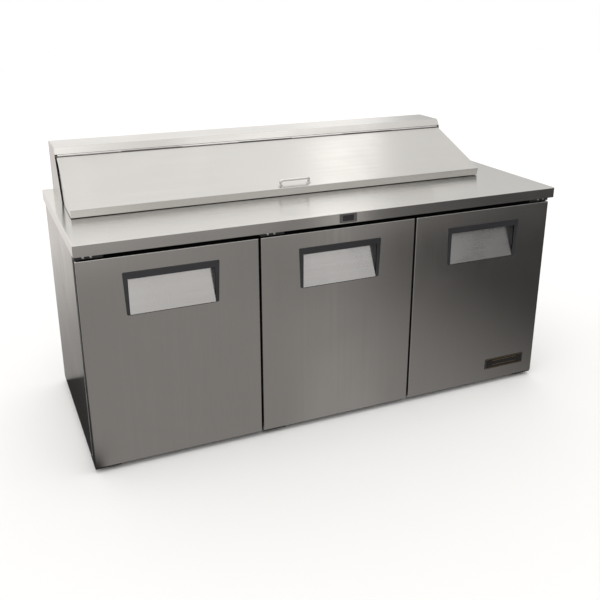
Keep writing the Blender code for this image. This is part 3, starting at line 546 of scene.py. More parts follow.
def sheet(name, polygons, inside, look, body, replaced, thickness=SHEET, bend=BEND):
    """A folded sheet: flat faces with round bends, thickened towards the inside."""
    bm = bmesh.new()
    for polygon in polygons:
        bm.faces.new([bm.verts.new(point) for point in polygon])
    obj = new_object(name, bm, look)
    face = max(obj.data.polygons, key=lambda polygon: polygon.area)
    if (Vector(inside) - face.center).dot(face.normal) > 0:
        obj.data.flip_normals()
    round_edges(obj, bend, 4, 15.0)
    solid = obj.modifiers.new("thickness", "SOLIDIFY")
    solid.thickness = thickness
    solid.offset = -1.0
    solid.use_even_offset = True
    settle(obj, body, replaced)


def dress(node, look, edge=0.0, segments=2):
    """Gives a CAD node its material, and rounds its edges."""
    obj = frame["nodes"][node]
    obj.data.materials.clear()
    obj.data.materials.append(LOOKS[look][1])
    if edge:
        weld = obj.modifiers.new("weld", "WELD")
        weld.merge_threshold = 0.00001
        flat = obj.modifiers.new("flat", "DECIMATE")
        flat.decimate_type = "DISSOLVE"
        flat.angle_limit = math.radians(1.0)
        round_edges(obj, edge, segments)
        even_faces(obj)


# ---- worktop, pans, hood and lid

def make_worktop():
    """One folded sheet: fascia, round front edge, top, and a ledge turned down round the pan well."""
    middle, half = middle_and_half(WORKTOP)
    opening = (PAN_COUNT * PAN_PITCH / 2 + 0.0015, WELL_HALF_DEPTH)
    foot, top, ledge = WORKTOP[0].z, WORKTOP_TOP, WORKTOP_TOP - LEDGE_DROP
    edge, roll, hem = 0.0032, 0.0024, 0.012
    well = [(WORKTOP_SHEET, top - WORKTOP_SHEET), (WORKTOP_SHEET, ledge - WORKTOP_SHEET),
            (-LEDGE_WIDTH, ledge - WORKTOP_SHEET), (-LEDGE_WIDTH, ledge), (-0.0012, ledge),
            (-0.0003, ledge + 0.0004), (0.0, ledge + 0.0014)]
    well += [(roll * (1 - cosine), top - roll * (1 - sine)) for sine, cosine in quarter(4)]
    rim = [(-edge * (1 - sine), top - edge * (1 - cosine)) for sine, cosine in quarter(4)]
    rim += [(0.0, foot + 0.0008), (-0.0003, foot + 0.0002), (-0.0010, foot), (-hem, foot),
            (-hem, foot + 0.001), (-WORKTOP_SHEET, foot + WORKTOP_SHEET),
            (-WORKTOP_SHEET, top - WORKTOP_SHEET)]
    loops = [rounded((*WELL_CENTRE, level), (opening[0] + growth, opening[1] + growth),
                     WELL_CORNER + growth, "Z", 6) for growth, level in well]
    loops += [rounded((*middle.xy, level), (half.x + growth, half.y + growth), 0.004, "Z", 6)
              for growth, level in rim]
    bm = bmesh.new()
    put_loft(bm, loops, ring=True)
    piece("worktop_sheet", bm, "steel_x", "cabinet", ["worktop"])


def make_pans():
    """Drawn pans: a bowl with round corners, hung from a flange with a rolled lip."""
    wall, flange, taper, bowl = 0.0010, 0.012, 0.006, 0.014
    neck = flange + wall
    for number in range(1, PAN_COUNT + 1):
        low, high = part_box(f"pan_{number}")
        top = high.z
        foot = [(flange + taper + bowl * (1 - sine), low.z + wall + bowl * (1 - cosine))
                for sine, cosine in quarter(6)]
        section = [(inset + wall, level) for inset, level in foot]
        section += [(neck + 0.0025, top - 0.006), (neck + 0.0012, top - 0.0018), (neck - 0.0015, top),
                    (0.0025, top), (0.0007, top - 0.0005), (0.0, top - 0.0020), (0.0, top - 0.0030),
                    (0.0010, top - 0.0030), (0.0012, top - wall), (flange, top - wall - 0.0004),
                    (flange + 0.0012, top - 0.006)]
        section += [(inset, level - wall) for inset, level in reversed(foot)]
        rows = [(inset, level, 0.012 if inset < 0.005 else min(0.030, 0.024 + inset * 0.2))
                for inset, level in section]
        bm = bmesh.new()
        put_frames(bm, (low, high), "Z", rows, 7)
        piece(f"pan_{number}_bowl", bm, "steel_pan", "cabinet", [f"pan_{number}"])


def across_x(outline, x):
    return [Vector((x, point[0], point[1])) for point in outline]


def strip(line, start, end):
    """The faces of an open line in the plane across X, drawn out from start to end."""
    near, far = across_x(line, start), across_x(line, end)
    return [[near[index], far[index], far[index + 1], near[index + 1]] for index in range(len(line) - 1)]


def make_hood():
    foot = WORKTOP_TOP + GAP
    rise = (BAND_TOP - BAND_BOTTOM).normalized()
    hem = BAND_BOTTOM + 0.007 * Vector((rise.y, -rise.x))
    back = [Vector((HOOD_REAR, HOOD_TOP)), Vector((HOOD_REAR, foot))]
    faces = strip([hem, BAND_BOTTOM, BAND_TOP] + back, HOOD_LEFT + SHEET + GAP, HOOD_RIGHT - SHEET - GAP)
    sheet("hood_sheet", faces, (0.0, 0.3, 0.9), "steel_x", "cabinet", ["hood_cover"], bend=0.0022)
    side_foot = Vector((LID_SIDE_FOOT.x + 0.006, foot))
    side_top = Vector((BAND_BOTTOM.x - 0.0005, BAND_BOTTOM.y - 0.010))
    outline = [BAND_BOTTOM, BAND_TOP] + back + [side_foot, side_top]
    for side, x in (("left", HOOD_LEFT), ("right", HOOD_RIGHT - SHEET)):
        bm = bmesh.new()
        put_prism(bm, outline, "X", x, x + SHEET)
        piece(f"hood_{side}_cheek_sheet", bm, "steel_z", "cabinet", [f"hood_{side}_cheek"], edge=0.0004)


def make_hood_seals():
    """Black rubber flaps that close the gaps between the lid's sides and the cheeks."""
    top = Vector((BAND_BOTTOM.x + 0.0008, BAND_BOTTOM.y - 0.010))
    foot = Vector((LID_SIDE_FOOT.x + 0.0073, WORKTOP_TOP + 0.0010))
    thick = Vector((0.0015, 0.0))
    reach = 0.0120
    for side, start in (("left", HOOD_LEFT + SHEET + GAP), ("right", HOOD_RIGHT - SHEET - GAP - reach)):
        bm = bmesh.new()
        put_prism(bm, [top, top + thick, foot + thick, foot], "X", start, start + reach)
        piece(f"hood_{side}_seal", bm, "rubber", "cabinet", edge=0.0003, segments=2)


def knuckles(moving):
    """The lid's share of the hinge's knuckles, or the hood's."""
    start, end = HOOD_LEFT + 0.0015, HOOD_RIGHT - 0.0015
    step = (end - start) / KNUCKLES
    radius, bore, rim, play = 0.0032, 0.0026, 0.0005, 0.0006
    bm = bmesh.new()
    for index in range(1 if moving else 0, KNUCKLES, 2):
        low, high = start + index * step + play, start + (index + 1) * step - play
        put_turned(bm, [(bore, 0.0), (radius, rim), (radius, high - low - rim), (bore, high - low)],
                   (low, *LID_AXIS), "X", 20)
    return bm


def tapered(outline, x, inward):
    """Points of the lid's side, which leans in towards the hinge."""
    return [Vector((x + inward * LID_TAPER * (point.x - LID_FOLD.x), point.x, point.y)) for point in outline]


def make_lid():
    top = LID_AXIS + 0.0042 * LID_DOWN
    foot = LID_AXIS + 0.010 * (LID_SIDE_FOOT - LID_AXIS).normalized()
    side = [top, LID_FOLD, LID_LIP, LID_SIDE_FOOT, foot]
    left, right = tapered(side, HOOD_LEFT, 1), tapered(side, HOOD_RIGHT, -1)
    faces = [[left[index], right[index], right[index + 1], left[index + 1]] for index in range(2)]
    faces += [left, right]
    sheet("lid_sheet", faces, (0.0, 0.1, 0.85), "steel_x", "lid", ["lid_skin"], bend=0.0022)
    # The knuckles' near-black colour is painted shade, for the shade under the hood's band
    piece("lid_knuckles", knuckles(True), "steel_painted_shade", "lid", ["lid_skin"])
    piece("hood_knuckles", knuckles(False), "steel_painted_shade", "cabinet")
    dress("lid_hinge_leaf", "steel_bright")


def make_lid_liner():
    """The lid's moulded inner panel, narrower at the hinge, with a shallow recess."""
    ends = [(LID_FOLD - 0.004 * LID_DOWN, 0.0020, -1), (LID_AXIS + 0.014 * LID_DOWN, 0.0145, 1)]
    corners = [(HOOD_LEFT, 1, *end) for end in ends] + [(HOOD_RIGHT, -1, *end) for end in reversed(ends)]
    loops = []
    for inset, depth in ((0.0, SHEET + GAP), (0.0, 0.0165), (0.0015, 0.0190), (0.022, 0.0190),
                         (0.028, 0.0150), (0.060, 0.0150)):
        loop = []
        for x, inward, spot, margin, way in corners:
            place = spot + way * inset * LID_DOWN + depth * LID_IN
            loop.append(Vector((x + inward * (margin + inset), place.x, place.y)))
        loops.append(loop)
    bm = bmesh.new()
    put_loft(bm, loops)
    piece("lid_inner_panel", bm, "white", "lid", ["lid_liner"], edge=0.0030)


def make_lid_pull():
    """A bow handle of round bar on two turned feet."""
    low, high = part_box("lid_handle")
    middle = (low.x + high.x) / 2
    half = (high.x - low.x) / 2 - 0.0045
    seat = LID_FOLD - 0.025 * LID_DOWN
    rise = 0.0185
    out = Vector((0.0, -LID_IN.x, -LID_IN.y))
    feet = [Vector((middle + x, seat.x, seat.y)) for x in (-half, half)]
    bow = [feet[0], feet[0] + rise * out, feet[1] + rise * out, feet[1]]
    bm = bmesh.new()
    put_tube(bm, fillet(bow, 0.009, 8), 0.0052, 20)
    for foot in feet:
        put_loft(bm, [ring_about(foot + height * out, out, radius, 20) for radius, height in (
            (0.0100, 0.0), (0.0100, 0.0012), (0.0090, 0.0026), (0.0056, 0.0034))])
    piece("lid_pull", bm, "steel_bright", "lid", ["lid_handle"])


# ---- doors

def pocket_levels(number):
    low, high = HANDLES[number]
    bar_foot = high.z - HANDLE_BAR
    return low.z, bar_foot, bar_foot + POCKET_RISE


def make_door_sheet(number):
    """The folded outer skin, with a hole for the handle's pocket."""
    body = f"door_{number}"
    edge = 0.0028
    back = DOOR_FRONT + DOOR_RETURN
    rows = [(SHEET + 0.0006, DOOR_FRONT + SHEET, 0.001), (SHEET, back, 0.001), (0.0003, back, 0.002),
            (0.0, back - 0.0004, 0.002)]
    rows += [(edge * (1 - cosine), DOOR_FRONT + edge * (1 - sine), 0.002) for sine, cosine in quarter(4)]
    bm = bmesh.new()
    put_frames(bm, DOORS[number], "Y", rows, 4)
    foot, _, roof = pocket_levels(number)
    middle = (DOORS[number][0].x + DOORS[number][1].x) / 2
    opening = rounded((middle, 0.0, (foot + roof) / 2),
                      (POCKET_HALF + HANDLE_WALL, (roof - foot) / 2 + HANDLE_WALL), 0.003, "Y", 3)
    hole = bmesh.new()
    put_prism(hole, [(point.x, point.z) for point in opening], "Y", DOOR_FRONT - 0.01, DOOR_FRONT + 0.01)
    piece(f"{body}_sheet", bm, "steel_z", body, [f"{body}_skin"], cut=hole)


def grip_outline(number):
    """The grip's frame from the front: a bar, and two legs that taper to round feet."""
    low, high = HANDLES[number]
    x = (low.x + high.x) / 2
    top, foot = high.z, low.z
    bar_foot = top - HANDLE_BAR
    round_foot = (HANDLE_BOTTOM_HALF - POCKET_HALF) / 2
    corner = 0.004
    half = [((high.x - low.x) / 2 - corner + corner * sine, top - corner + corner * cosine)
            for sine, cosine in quarter(4)]
    for step in range(11):
        out = spoke(math.pi * step / 10)
        half.append((POCKET_HALF + round_foot * (1 + out.x), foot + round_foot * (1 - out.z)))
    half += [(POCKET_HALF, bar_foot + 0.002), (POCKET_HALF - 0.002, bar_foot)]
    return [(x + a, z) for a, z in half] + [(x - a, z) for a, z in reversed(half)]


def make_handle(number):
    """The grip's frame, the dark pocket behind its bar, and the steel plate on the pocket's slope."""
    body = f"door_{number}"
    stands_for = [f"{body}_handle"]
    low, high = HANDLES[number]
    middle = (low.x + high.x) / 2
    foot, bar_foot, roof = pocket_levels(number)
    deep = DOOR_FRONT + POCKET_DEPTH
    lip = DOOR_FRONT + HANDLE_LIP
    bm = bmesh.new()
    put_prism(bm, grip_outline(number), "Y", DOOR_FRONT - HANDLE_PROUD, lip)
    piece(f"{body}_grip", bm, "grip", body, stands_for, edge=0.0012)

    left, right = middle - POCKET_HALF, middle + POCKET_HALF
    slope_foot, slope_top = Vector((DOOR_FRONT, foot)), Vector((deep, bar_foot))
    profile = [slope_foot, slope_top, Vector((deep, roof)), Vector((lip, roof))]
    side = profile + [Vector((lip, bar_foot)), Vector((DOOR_FRONT, bar_foot))]
    faces = strip(profile, left, right) + [across_x(side, left), across_x(side, right)]
    sheet(f"{body}_pocket", faces, (middle, deep + 0.1, 0.5), "grip", body, stands_for,
          thickness=HANDLE_WALL, bend=0.002)

    slope = (slope_top - slope_foot).normalized()
    out = Vector((-slope.y, slope.x))
    start, end = slope_foot + 0.0006 * slope, slope_top - 0.0012 * slope
    bm = bmesh.new()
    put_prism(bm, [start + 0.0003 * out, end + 0.0003 * out, end + 0.0009 * out, start + 0.0005 * out], "X",
              left + 0.0008, right - 0.0008)
    piece(f"{body}_pocket_plate", bm, "steel_pocket", body, stands_for, edge=0.0002, segments=2)


def make_door_back(number):
    """The moulded inner panel with its raised frame, a black band round the door's sides that is painted
    shade, and the folded gasket.
    """
    door, body = DOORS[number], f"door_{number}"
    core, back = SHEET + GAP, DOOR_BACK
    section = [(core, DOOR_FRONT + 0.034), (core, back - 0.0015), (core + 0.0015, back), (0.029, back),
               (0.031, back + 0.0006), (0.034, back + 0.0082), (0.037, back + 0.0096),
               (0.058, back + 0.0096), (0.061, back + 0.0082), (0.068, back + 0.0012),
               (0.072, back - 0.0002), (0.150, back - 0.0002)]
    rows = [(inset, y, 0.002 if inset < 0.02 else 0.012 if inset < 0.06 else 0.020) for inset, y in section]
    bm = bmesh.new()
    put_frames(bm, door, "Y", rows, 6)
    piece(f"{body}_inner_panel", bm, "white", body, [f"{body}_liner"])

    # A black band over the door's sides: painted shade, for the dark sides and gaps between the doors
    start, end = DOOR_FRONT + DOOR_RETURN + GAP, back - 0.0003
    rows = [(0.0004, start, 0.0018), (0.0004, end, 0.0018), (SHEET, end, 0.001), (SHEET, start, 0.001)]
    bm = bmesh.new()
    put_frames(bm, door, "Y", rows, 3, ring=True)
    piece(f"{body}_edge_painted_shade", bm, "rubber", body, edge=0.0003, segments=2)

    profile = [(0.0, 0.0), (-0.0003, 0.0020), (0.0022, 0.0034), (0.0004, 0.0052), (0.0022, 0.0068),
               (0.0002, 0.0080), (0.0, 0.0112), (0.0014, 0.0124), (0.0120, 0.0124), (0.0134, 0.0112),
               (0.0132, 0.0080), (0.0112, 0.0068), (0.0132, 0.0052), (0.0160, 0.0034), (0.0180, 0.0018),
               (0.0176, 0.0)]
    rows = [(GASKET_INSET + inset, back + GAP + depth, 0.003 if inset < 0.008 else 0.001)
            for inset, depth in profile]
    bm = bmesh.new()
    put_frames(bm, door, "Y", rows, 2, ring=True)
    piece(f"{body}_seal", bm, "rubber", body, [f"{body}_gasket"])


def make_badge():
    """A plain black plate with a thin metal border and two plain lines."""
    low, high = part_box("badge_plate")
    centre, half = middle_and_half((low, high))
    front = low.y
    bm = bmesh.new()
    put_frames(bm, (low, high), "Y", [(0.0, high.y, 0.003), (0.0, front + 0.0006, 0.003),
                                      (0.0004, front + 0.0002, 0.003), (0.0009, front + 0.0002, 0.003)], 5)
    piece("badge_face", bm, "badge", "door_3", ["badge_plate"])
    bm = bmesh.new()
    put_frames(bm, (low, high), "Y", [(0.0024, front + 0.0003, 0.002), (0.0024, front, 0.002),
                                      (0.0036, front, 0.002), (0.0036, front + 0.0003, 0.002)], 5, ring=True)
    reach = 0.62 * half.x
    for share in (-0.36, 0.52):
        z = centre.z + share * half.z
        put_box(bm, (centre.x - reach, front, z - 0.0006), (centre.x + reach, front + 0.0003, z + 0.0006))
    piece("badge_border", bm, "gold", "door_3")


def make_brackets(number):
    """Hinge plates keep their CAD shape, in black that is painted shade; bright screw heads stand in front
    of the upper one.
    """
    for part in ("top", "bottom"):
        # Black on the hinge plates is painted shade, for the shade they sit in
        dress(f"door_{number}_{part}_hinge", "black", 0.0005)
    low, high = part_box(f"door_{number}_top_hinge")
    door_low, door_high = DOORS[number]
    on_left = JOINTS[f"door_{number}_hinge"]["pos_m"][0] < (door_low.x + door_high.x) / 2
    bm = bmesh.new()
    for distance in (0.026, 0.050):
        x = low.x + distance if on_left else high.x - distance
        put_turned(bm, [(0.0048, 0.0016), (0.0048, -0.0006), (0.0040, -0.0020), (0.0022, -0.0026),
                        (0.0018, -0.0018), (0.0006, -0.0016)], (x, low.y, door_high.z + 0.0105), "Y", 20)
    piece(f"door_{number}_hinge_screws", bm, "screw", "cabinet")


# ---- cabinet

def make_display():
    """A moulded bezel round a dark lens, with no figures on it."""
    low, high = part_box("temperature_display")
    centre, half = middle_and_half((low, high))
    lens = (0.0215, 0.0105)
    front, back = low.y, high.y

    def outline(size, radius, y):
        return rounded((centre.x, y, centre.z), size, radius, "Y", 4)

    loops = [outline((half.x - inset, half.z - inset), radius, y) for inset, radius, y in (
        (0.0, 0.003, back), (0.0, 0.003, front + 0.0005), (0.0005, 0.003, front), (0.0028, 0.003, front),
        (0.0034, 0.0028, front + 0.0004))]
    loops += [outline((lens[0] + 0.0020, lens[1] + 0.0014), 0.002, front + 0.0004),
              outline(lens, 0.0015, front + 0.0009), outline(lens, 0.0015, back)]
    bm = bmesh.new()
    put_loft(bm, loops, ring=True)
    piece("display_bezel", bm, "bezel", "cabinet", ["temperature_display"])
    bm = bmesh.new()
    put_loft(bm, [outline(lens, 0.0015, back), outline(lens, 0.0015, front + 0.0007)])
    piece("display_lens", bm, "lens", "cabinet", ["temperature_display"], edge=0.0002)


def make_cabinet():
    for side in ("left", "right"):
        dress(f"{side}_side_panel", "steel_z", 0.0004)
        dress(f"{side}_liner_wall", "white", 0.0025, 3)
        dress(f"{side}_mullion", "white", 0.0025, 3)
        for end in ("front", "rear"):
            dress(f"foot_{end}_{side}", "rubber", 0.0008)
    dress("floor_liner", "white", 0.004, 3)
    dress("base_panel", "zinc", 0.0004)
    dress("rear_wall", "zinc", 0.0008)
    dress("rear_grille", "zinc", 0.0002)
    dress("front_header", "black", 0.0015)
    dress("power_inlet", "rubber", 0.0006)


def make_louvres():
    """Formed louvres over the grille's slots: three blocks of seven."""
    low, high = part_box("rear_grille")
    back = high.y + 0.0002
    half, wall, pitch = 0.142, 0.0008, 0.030
    bm = bmesh.new()
    for block in (-0.62, 0.0, 0.62):
        for row in range(7):
            z = low.z + 0.045 + row * pitch
            put_prism(bm, [(back, z + 0.0125), (back + 0.0032, z + 0.0015), (back + 0.0040, z + 0.0018),
                           (back + 0.0010, z + 0.0132)], "X", block - half, block + half)
            for end in (block - half, block + half - wall):
                put_prism(bm, [(back, z + 0.0125), (back, z + 0.0010), (back + 0.0034, z + 0.0016)], "X",
                          end, end + wall)
    piece("rear_louvres", bm, "zinc", "cabinet", edge=0.0002, segments=2)


def make_rear_screws():
    grille_foot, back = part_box("rear_grille")[0].z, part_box("rear_grille")[1].y
    wall_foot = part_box("rear_wall")[0].z
    places = [(x, grille_foot + 0.012) for x in (-0.84, -0.42, 0.0, 0.42, 0.84)]
    places += [(x, wall_foot + rise) for x in (-0.855, 0.855) for rise in (0.020, 0.250, 0.480)]
    places += [(x, wall_foot + 0.020) for x in (-0.42, 0.0, 0.42)]
    bm = bmesh.new()
    for x, z in places:
        put_turned(bm, [(0.0050, 0.0002), (0.0050, 0.0012), (0.0036, 0.0026), (0.0016, 0.0030),
                        (0.0012, 0.0022), (0.0004, 0.0022)], (x, back, z), "Y", 20)
    piece("rear_screws", bm, "screw", "cabinet")


def make_shelf(number):
    """A wire shelf of round rods, in a rounded rim."""
    low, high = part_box(f"shelf_{number}")
    rim, rod, brace, spaces = 0.0032, 0.0021, 0.0025, 22
    centre, half = middle_and_half((low, high))
    bm = bmesh.new()
    put_tube(bm, rounded((centre.x, centre.y, low.z + rim), (half.x - rim, half.y - rim), 0.012, "Z", 6),
             rim, 12, closed=True)
    top = low.z + rim + 0.0016
    for index in range(1, spaces):
        x = low.x + rim + (high.x - low.x - 2 * rim) * index / spaces
        put_tube(bm, [Vector((x, low.y + rim, top)), Vector((x, high.y - rim, top))], rod, 8)
    for y in (-0.09, 0.08):
        put_tube(bm, [Vector((x, y, low.z + 0.0026)) for x in (low.x + rim, high.x - rim)], brace, 8)
    piece(f"shelf_{number}_wires", bm, "wire", "cabinet", [f"shelf_{number}"])


# ---- refrigeration

def put_blade(bm, centre, start, hub, radius, blades):
    """A curved blade whose pitch falls from its root to its tip."""
    thick = Vector((0.0, 0.0006, 0.0))
    root, sweep, camber = hub * 0.85, 0.20, 0.003
    root_pitch, pitch_fall, overlap, flattening = 38, 18, 1.25, 0.42
    loops = []
    for step in range(7):
        share = step / 6
        reach = root + (radius - root) * share
        width = 0.62 + 0.30 * math.sin(math.pi * share * 0.8)
        slope = math.tan(math.radians(root_pitch - pitch_fall * share)) * flattening
        row = []
        for across in range(6):
            place = across / 5 - 0.5
            lean = place * width * 2 * math.pi / blades * overlap
            angle = start + lean + sweep * share
            lift = slope * lean * reach - camber * math.cos(math.pi * place)
            row.append(centre + Vector((reach * math.cos(angle), lift, reach * math.sin(angle))))
        loops.append([point - thick for point in row] + [point + thick for point in reversed(row)])
    rows = put_loft(bm, loops, caps=False)
    for row in (rows[0], rows[-1]):
        for index in range(5):
            bm.faces.new((row[index], row[index + 1], row[10 - index], row[11 - index]))


def make_fan(name, radius, hub, blades):
    """Hub and pitched blades about the joint's axis, which runs along Y."""
    centre = Vector(JOINTS[name + "_spin"]["pos_m"])
    half = 0.015
    bm = bmesh.new()
    put_turned(bm, [(hub * 0.55, -half), (hub * 0.85, -half + 0.001), (hub, -half + 0.004), (hub, half)],
               centre, "Y", 28)
    for blade in range(blades):
        put_blade(bm, centre, 2 * math.pi * blade / blades, hub, radius, blades)
    piece(f"{name}_rotor", bm, "fan", name, [name])


def make_coil(node, rows):
    """Fins between two end plates, and one pipe that runs back and forth through them."""
    low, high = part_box(node)
    fin_pitch, fin, plate, depth, bends, tube = 0.0035, 0.0006, 0.002, 0.0375, 0.012, 0.0045
    low = Vector((low.x + bends, high.y - depth, low.z))
    high = Vector((high.x - bends, high.y, high.z))
    bm = bmesh.new()
    for index in range(int((high.x - low.x) / fin_pitch)):
        x = low.x + index * fin_pitch
        put_box(bm, (x, low.y, low.z), (x + fin, high.y, high.z))
    for x in (low.x - plate, high.x):
        put_box(bm, (x, low.y - 0.001, low.z), (x + plate, high.y, high.z))
    piece(f"{node}_fins", bm, "fins", "cabinet", [node])

    y = (low.y + high.y) / 2
    step = (high.z - low.z) / rows
    ends = (low.x - bends / 2, high.x + bends / 2)
    points = []
    for row in range(rows):
        z = low.z + (row + 0.5) * step
        points += [Vector((x, y, z)) for x in (ends if row % 2 == 0 else ends[::-1])]
    bm = bmesh.new()
    put_tube(bm, fillet(points, step * 0.45), tube)
    piece(f"{node}_pipe", bm, "copper", "cabinet", [node])


def make_motor(name, radius, arm):
    """A fan's motor: a can with a ribbed end, and four arms that hold it to the coil."""
    place = Vector(JOINTS[name + "_fan_spin"]["pos_m"])
    long = 0.017
    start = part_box(name + "_coil")[0].y
    centre = Vector((place.x, start, place.z))
    bm = bmesh.new()
    put_turned(bm, [(0.30 * radius, 0.0), (0.34 * radius, 0.0004), (0.36 * radius, 0.0012),
                    (0.86 * radius, 0.0016), (0.97 * radius, 0.0032), (radius, 0.006),
                    (radius, long - 0.003), (0.94 * radius, long)], centre, "Y", 32)
    for rib in range(12):
        foot = centre + Vector((0.0, 0.0095, 0.0)) + 0.985 * radius * spoke(2 * math.pi * rib / 12)
        put_tube(bm, [foot, foot + Vector((0.0, long - 0.0125, 0.0))], 0.0009, 8)
    piece(f"{name}_motor", bm, "black", "cabinet", edge=0.0004, segments=2)
    hub = centre + Vector((0.0, long - 0.004, 0.0))
    bm = bmesh.new()
    for turn in range(4):
        way = spoke(math.pi / 4 + turn * math.pi / 2)
        bent = [hub + 0.9 * radius * way, hub + arm * way, hub + arm * way + Vector((0.0, 0.006, 0.0))]
        put_tube(bm, fillet(bent, 0.004), 0.0022)
    piece(f"{name}_motor_arms", bm, "wire", "cabinet")


def make_guard():
    """Wire rings and spokes in front of the evaporator's fan."""
    centre = Vector(JOINTS["evaporator_fan_spin"]["pos_m"])
    centre.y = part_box("evaporator_housing")[0].y - 0.0012
    bm = bmesh.new()
    for radius in (0.022, 0.036, 0.050, 0.064, 0.080):
        put_tube(bm, circle(centre, radius, "Y", 40), 0.0010, 6, closed=True)
    for turn in range(4):
        way = spoke(math.pi / 4 + turn * math.pi / 2)
        start = centre - Vector((0.0, 0.0016, 0.0)) + 0.020 * way
        put_tube(bm, [start, start + 0.064 * way], 0.0012, 6)
    piece("evaporator_fan_guard", bm, "wire", "cabinet")


def make_dial():
    """The thermostat's knob with a ribbed edge and pointer, and a numbered scale round it."""
    low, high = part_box("thermostat_dial")
    centre = Vector(((low.x + high.x) / 2, high.y, (low.z + high.z) / 2))
    ribs = 24
    sides = ribs * 4
    loops = []
    for radius, depth, wave in ((0.0165, 0.0, 0.0), (0.0170, 0.0012, 0.0), (0.0165, 0.0030, 0.0004),
                                (0.0150, 0.0140, 0.0004), (0.0140, 0.0162, 0.0002), (0.0110, 0.0170, 0.0)):
        base = centre - Vector((0.0, depth, 0.0))
        angles = [2 * math.pi * side / sides for side in range(sides)]
        loops.append([base + (radius + wave * math.cos(angle * ribs)) * spoke(angle) for angle in angles])
    bm = bmesh.new()
    put_loft(bm, loops)
    piece("thermostat_knob", bm, "fan", "thermostat_dial", ["thermostat_dial"])
    bm = bmesh.new()
    put_box(bm, (centre.x - 0.0007, low.y - 0.0003, centre.z + 0.002),
            (centre.x + 0.0007, low.y + 0.0002, centre.z + 0.0105))
    piece("thermostat_pointer", bm, "white", "thermostat_dial")

    centre.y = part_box("evaporator_housing")[0].y - 0.0002
    marks = [spoke(math.pi / 2 - DIAL_TURN * mark / (DIAL_MARKS - 1)) for mark in range(DIAL_MARKS)]
    bm = bmesh.new()
    for way in marks:
        put_tube(bm, [centre + 0.0195 * way, centre + 0.0230 * way], 0.0004, 6)
    piece("thermostat_scale", bm, "black", "cabinet")
    for mark, way in enumerate(marks):
        curve = bpy.data.curves.new(f"dial_number_{mark}", "FONT")
        curve.body = str(mark)
        curve.size = 0.0055
        curve.extrude = 0.0001
        curve.align_x = "CENTER"
        curve.align_y = "CENTER"
        slot, material = LOOKS["black"]
        curve.materials.append(material)
        number = add_object(f"dial_number_{mark}", curve)
        number.location = centre + 0.0275 * way
        number.rotation_euler = (math.pi / 2, 0.0, 0.0)
        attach(number, "cabinet")


def make_compressor():
    """A welded shell with a seam, terminal box, feet and short pipe stubs."""
    low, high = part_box("compressor")
    x, y, foot = (low.x + high.x) / 2, (low.y + high.y) / 2, low.z
    bm = bmesh.new()
    put_turned(bm, [(0.050, 0.004), (0.060, 0.006), (0.065, 0.014), (0.066, 0.030), (0.066, 0.078),
                    (0.0665, 0.082), (0.0665, 0.088), (0.066, 0.092), (0.065, 0.108), (0.060, 0.128),
                    (0.048, 0.144), (0.030, 0.153), (0.010, 0.156)], (x, y, foot), "Z", 40)
    put_box(bm, (x - 0.078, y - 0.030, foot), (x + 0.078, y + 0.030, foot + 0.006))
    piece("compressor_shell", bm, "black", "cabinet", ["compressor"], edge=0.0006, segments=2)
    bm = bmesh.new()
    put_box(bm, (x - 0.020, y - 0.082, foot + 0.040), (x + 0.020, y - 0.060, foot + 0.090))
    piece("compressor_terminal_box", bm, "fan", "cabinet", edge=0.003)
    bm = bmesh.new()
    for height in (0.070, 0.100):
        stub = [Vector((x + reach, y, foot + height + rise)) for reach, rise in (
            (0.060, 0.0), (0.090, 0.0), (0.090, 0.060), (0.150, 0.060))]
        put_tube(bm, fillet(stub, 0.012, 6), 0.0040, 12)
    piece("compressor_pipes", bm, "copper", "cabinet")


# ---- studio

def heading(azimuth, elevation):
    """A unit vector, from degrees right of +Y and degrees up."""
    turn, rise = math.radians(azimuth), math.radians(elevation)
    return Vector((math.sin(turn) * math.cos(rise), math.cos(turn) * math.cos(rise), math.sin(rise)))


def floor_in_gloss(nodes):
    """The painted reflection that polished metal sees in the floor: a glow, darker to the right, with a
    painted glare streak and a painted shadow by the left foot.
    """
    x, y, _ = nodes.axes(nodes.add("ShaderNodeTexCoord").outputs["Object"])
    near = nodes.ramp(x, 0.10, 1.60, 0.285, 0.05)
    far = nodes.math("ADD", nodes.ramp(x, -0.90, 0.90, 0.18, 0.0), nodes.ramp(x, 1.50, 1.75, 0.24, 0.15))
    far = nodes.both(far, nodes.ramp(x, 1.90, 2.90, 1.0, 0.45))
    front = nodes.mix(nodes.ramp(y, -2.20, -2.80), near, far)
    # A painted highlight: a bright streak of window glare on the floor, which the middle door reflects
    line = nodes.math("ADD", nodes.both(x, 0.894), nodes.both(y, 0.447))
    away = nodes.math("ABSOLUTE", nodes.math("ADD", line, 0.156))
    painted_glare_streak = nodes.both(nodes.ramp(away, 0.08, 0.22, 1.0, 0.0), nodes.ramp(y, -1.50, -2.60, 0.06, 0.36))
    front = nodes.math("ADD", front, painted_glare_streak)
    behind = nodes.ramp(y, 0.40, 2.60, 0.33, 0.84)
    tone = nodes.mix(nodes.ramp(y, 0.36, 0.42), front, behind)
    # A painted shadow: a dark strip of floor by the left side's foot, which the lower side panel reflects as
    # dark
    foot = nodes.both(nodes.ramp(x, -0.86, -0.90), nodes.ramp(x, -1.60, -1.15))
    foot = nodes.both(foot, nodes.both(nodes.ramp(y, 0.385, 0.365), nodes.ramp(y, -0.60, -0.40)))
    return nodes.mix(foot, tone, 0.035)


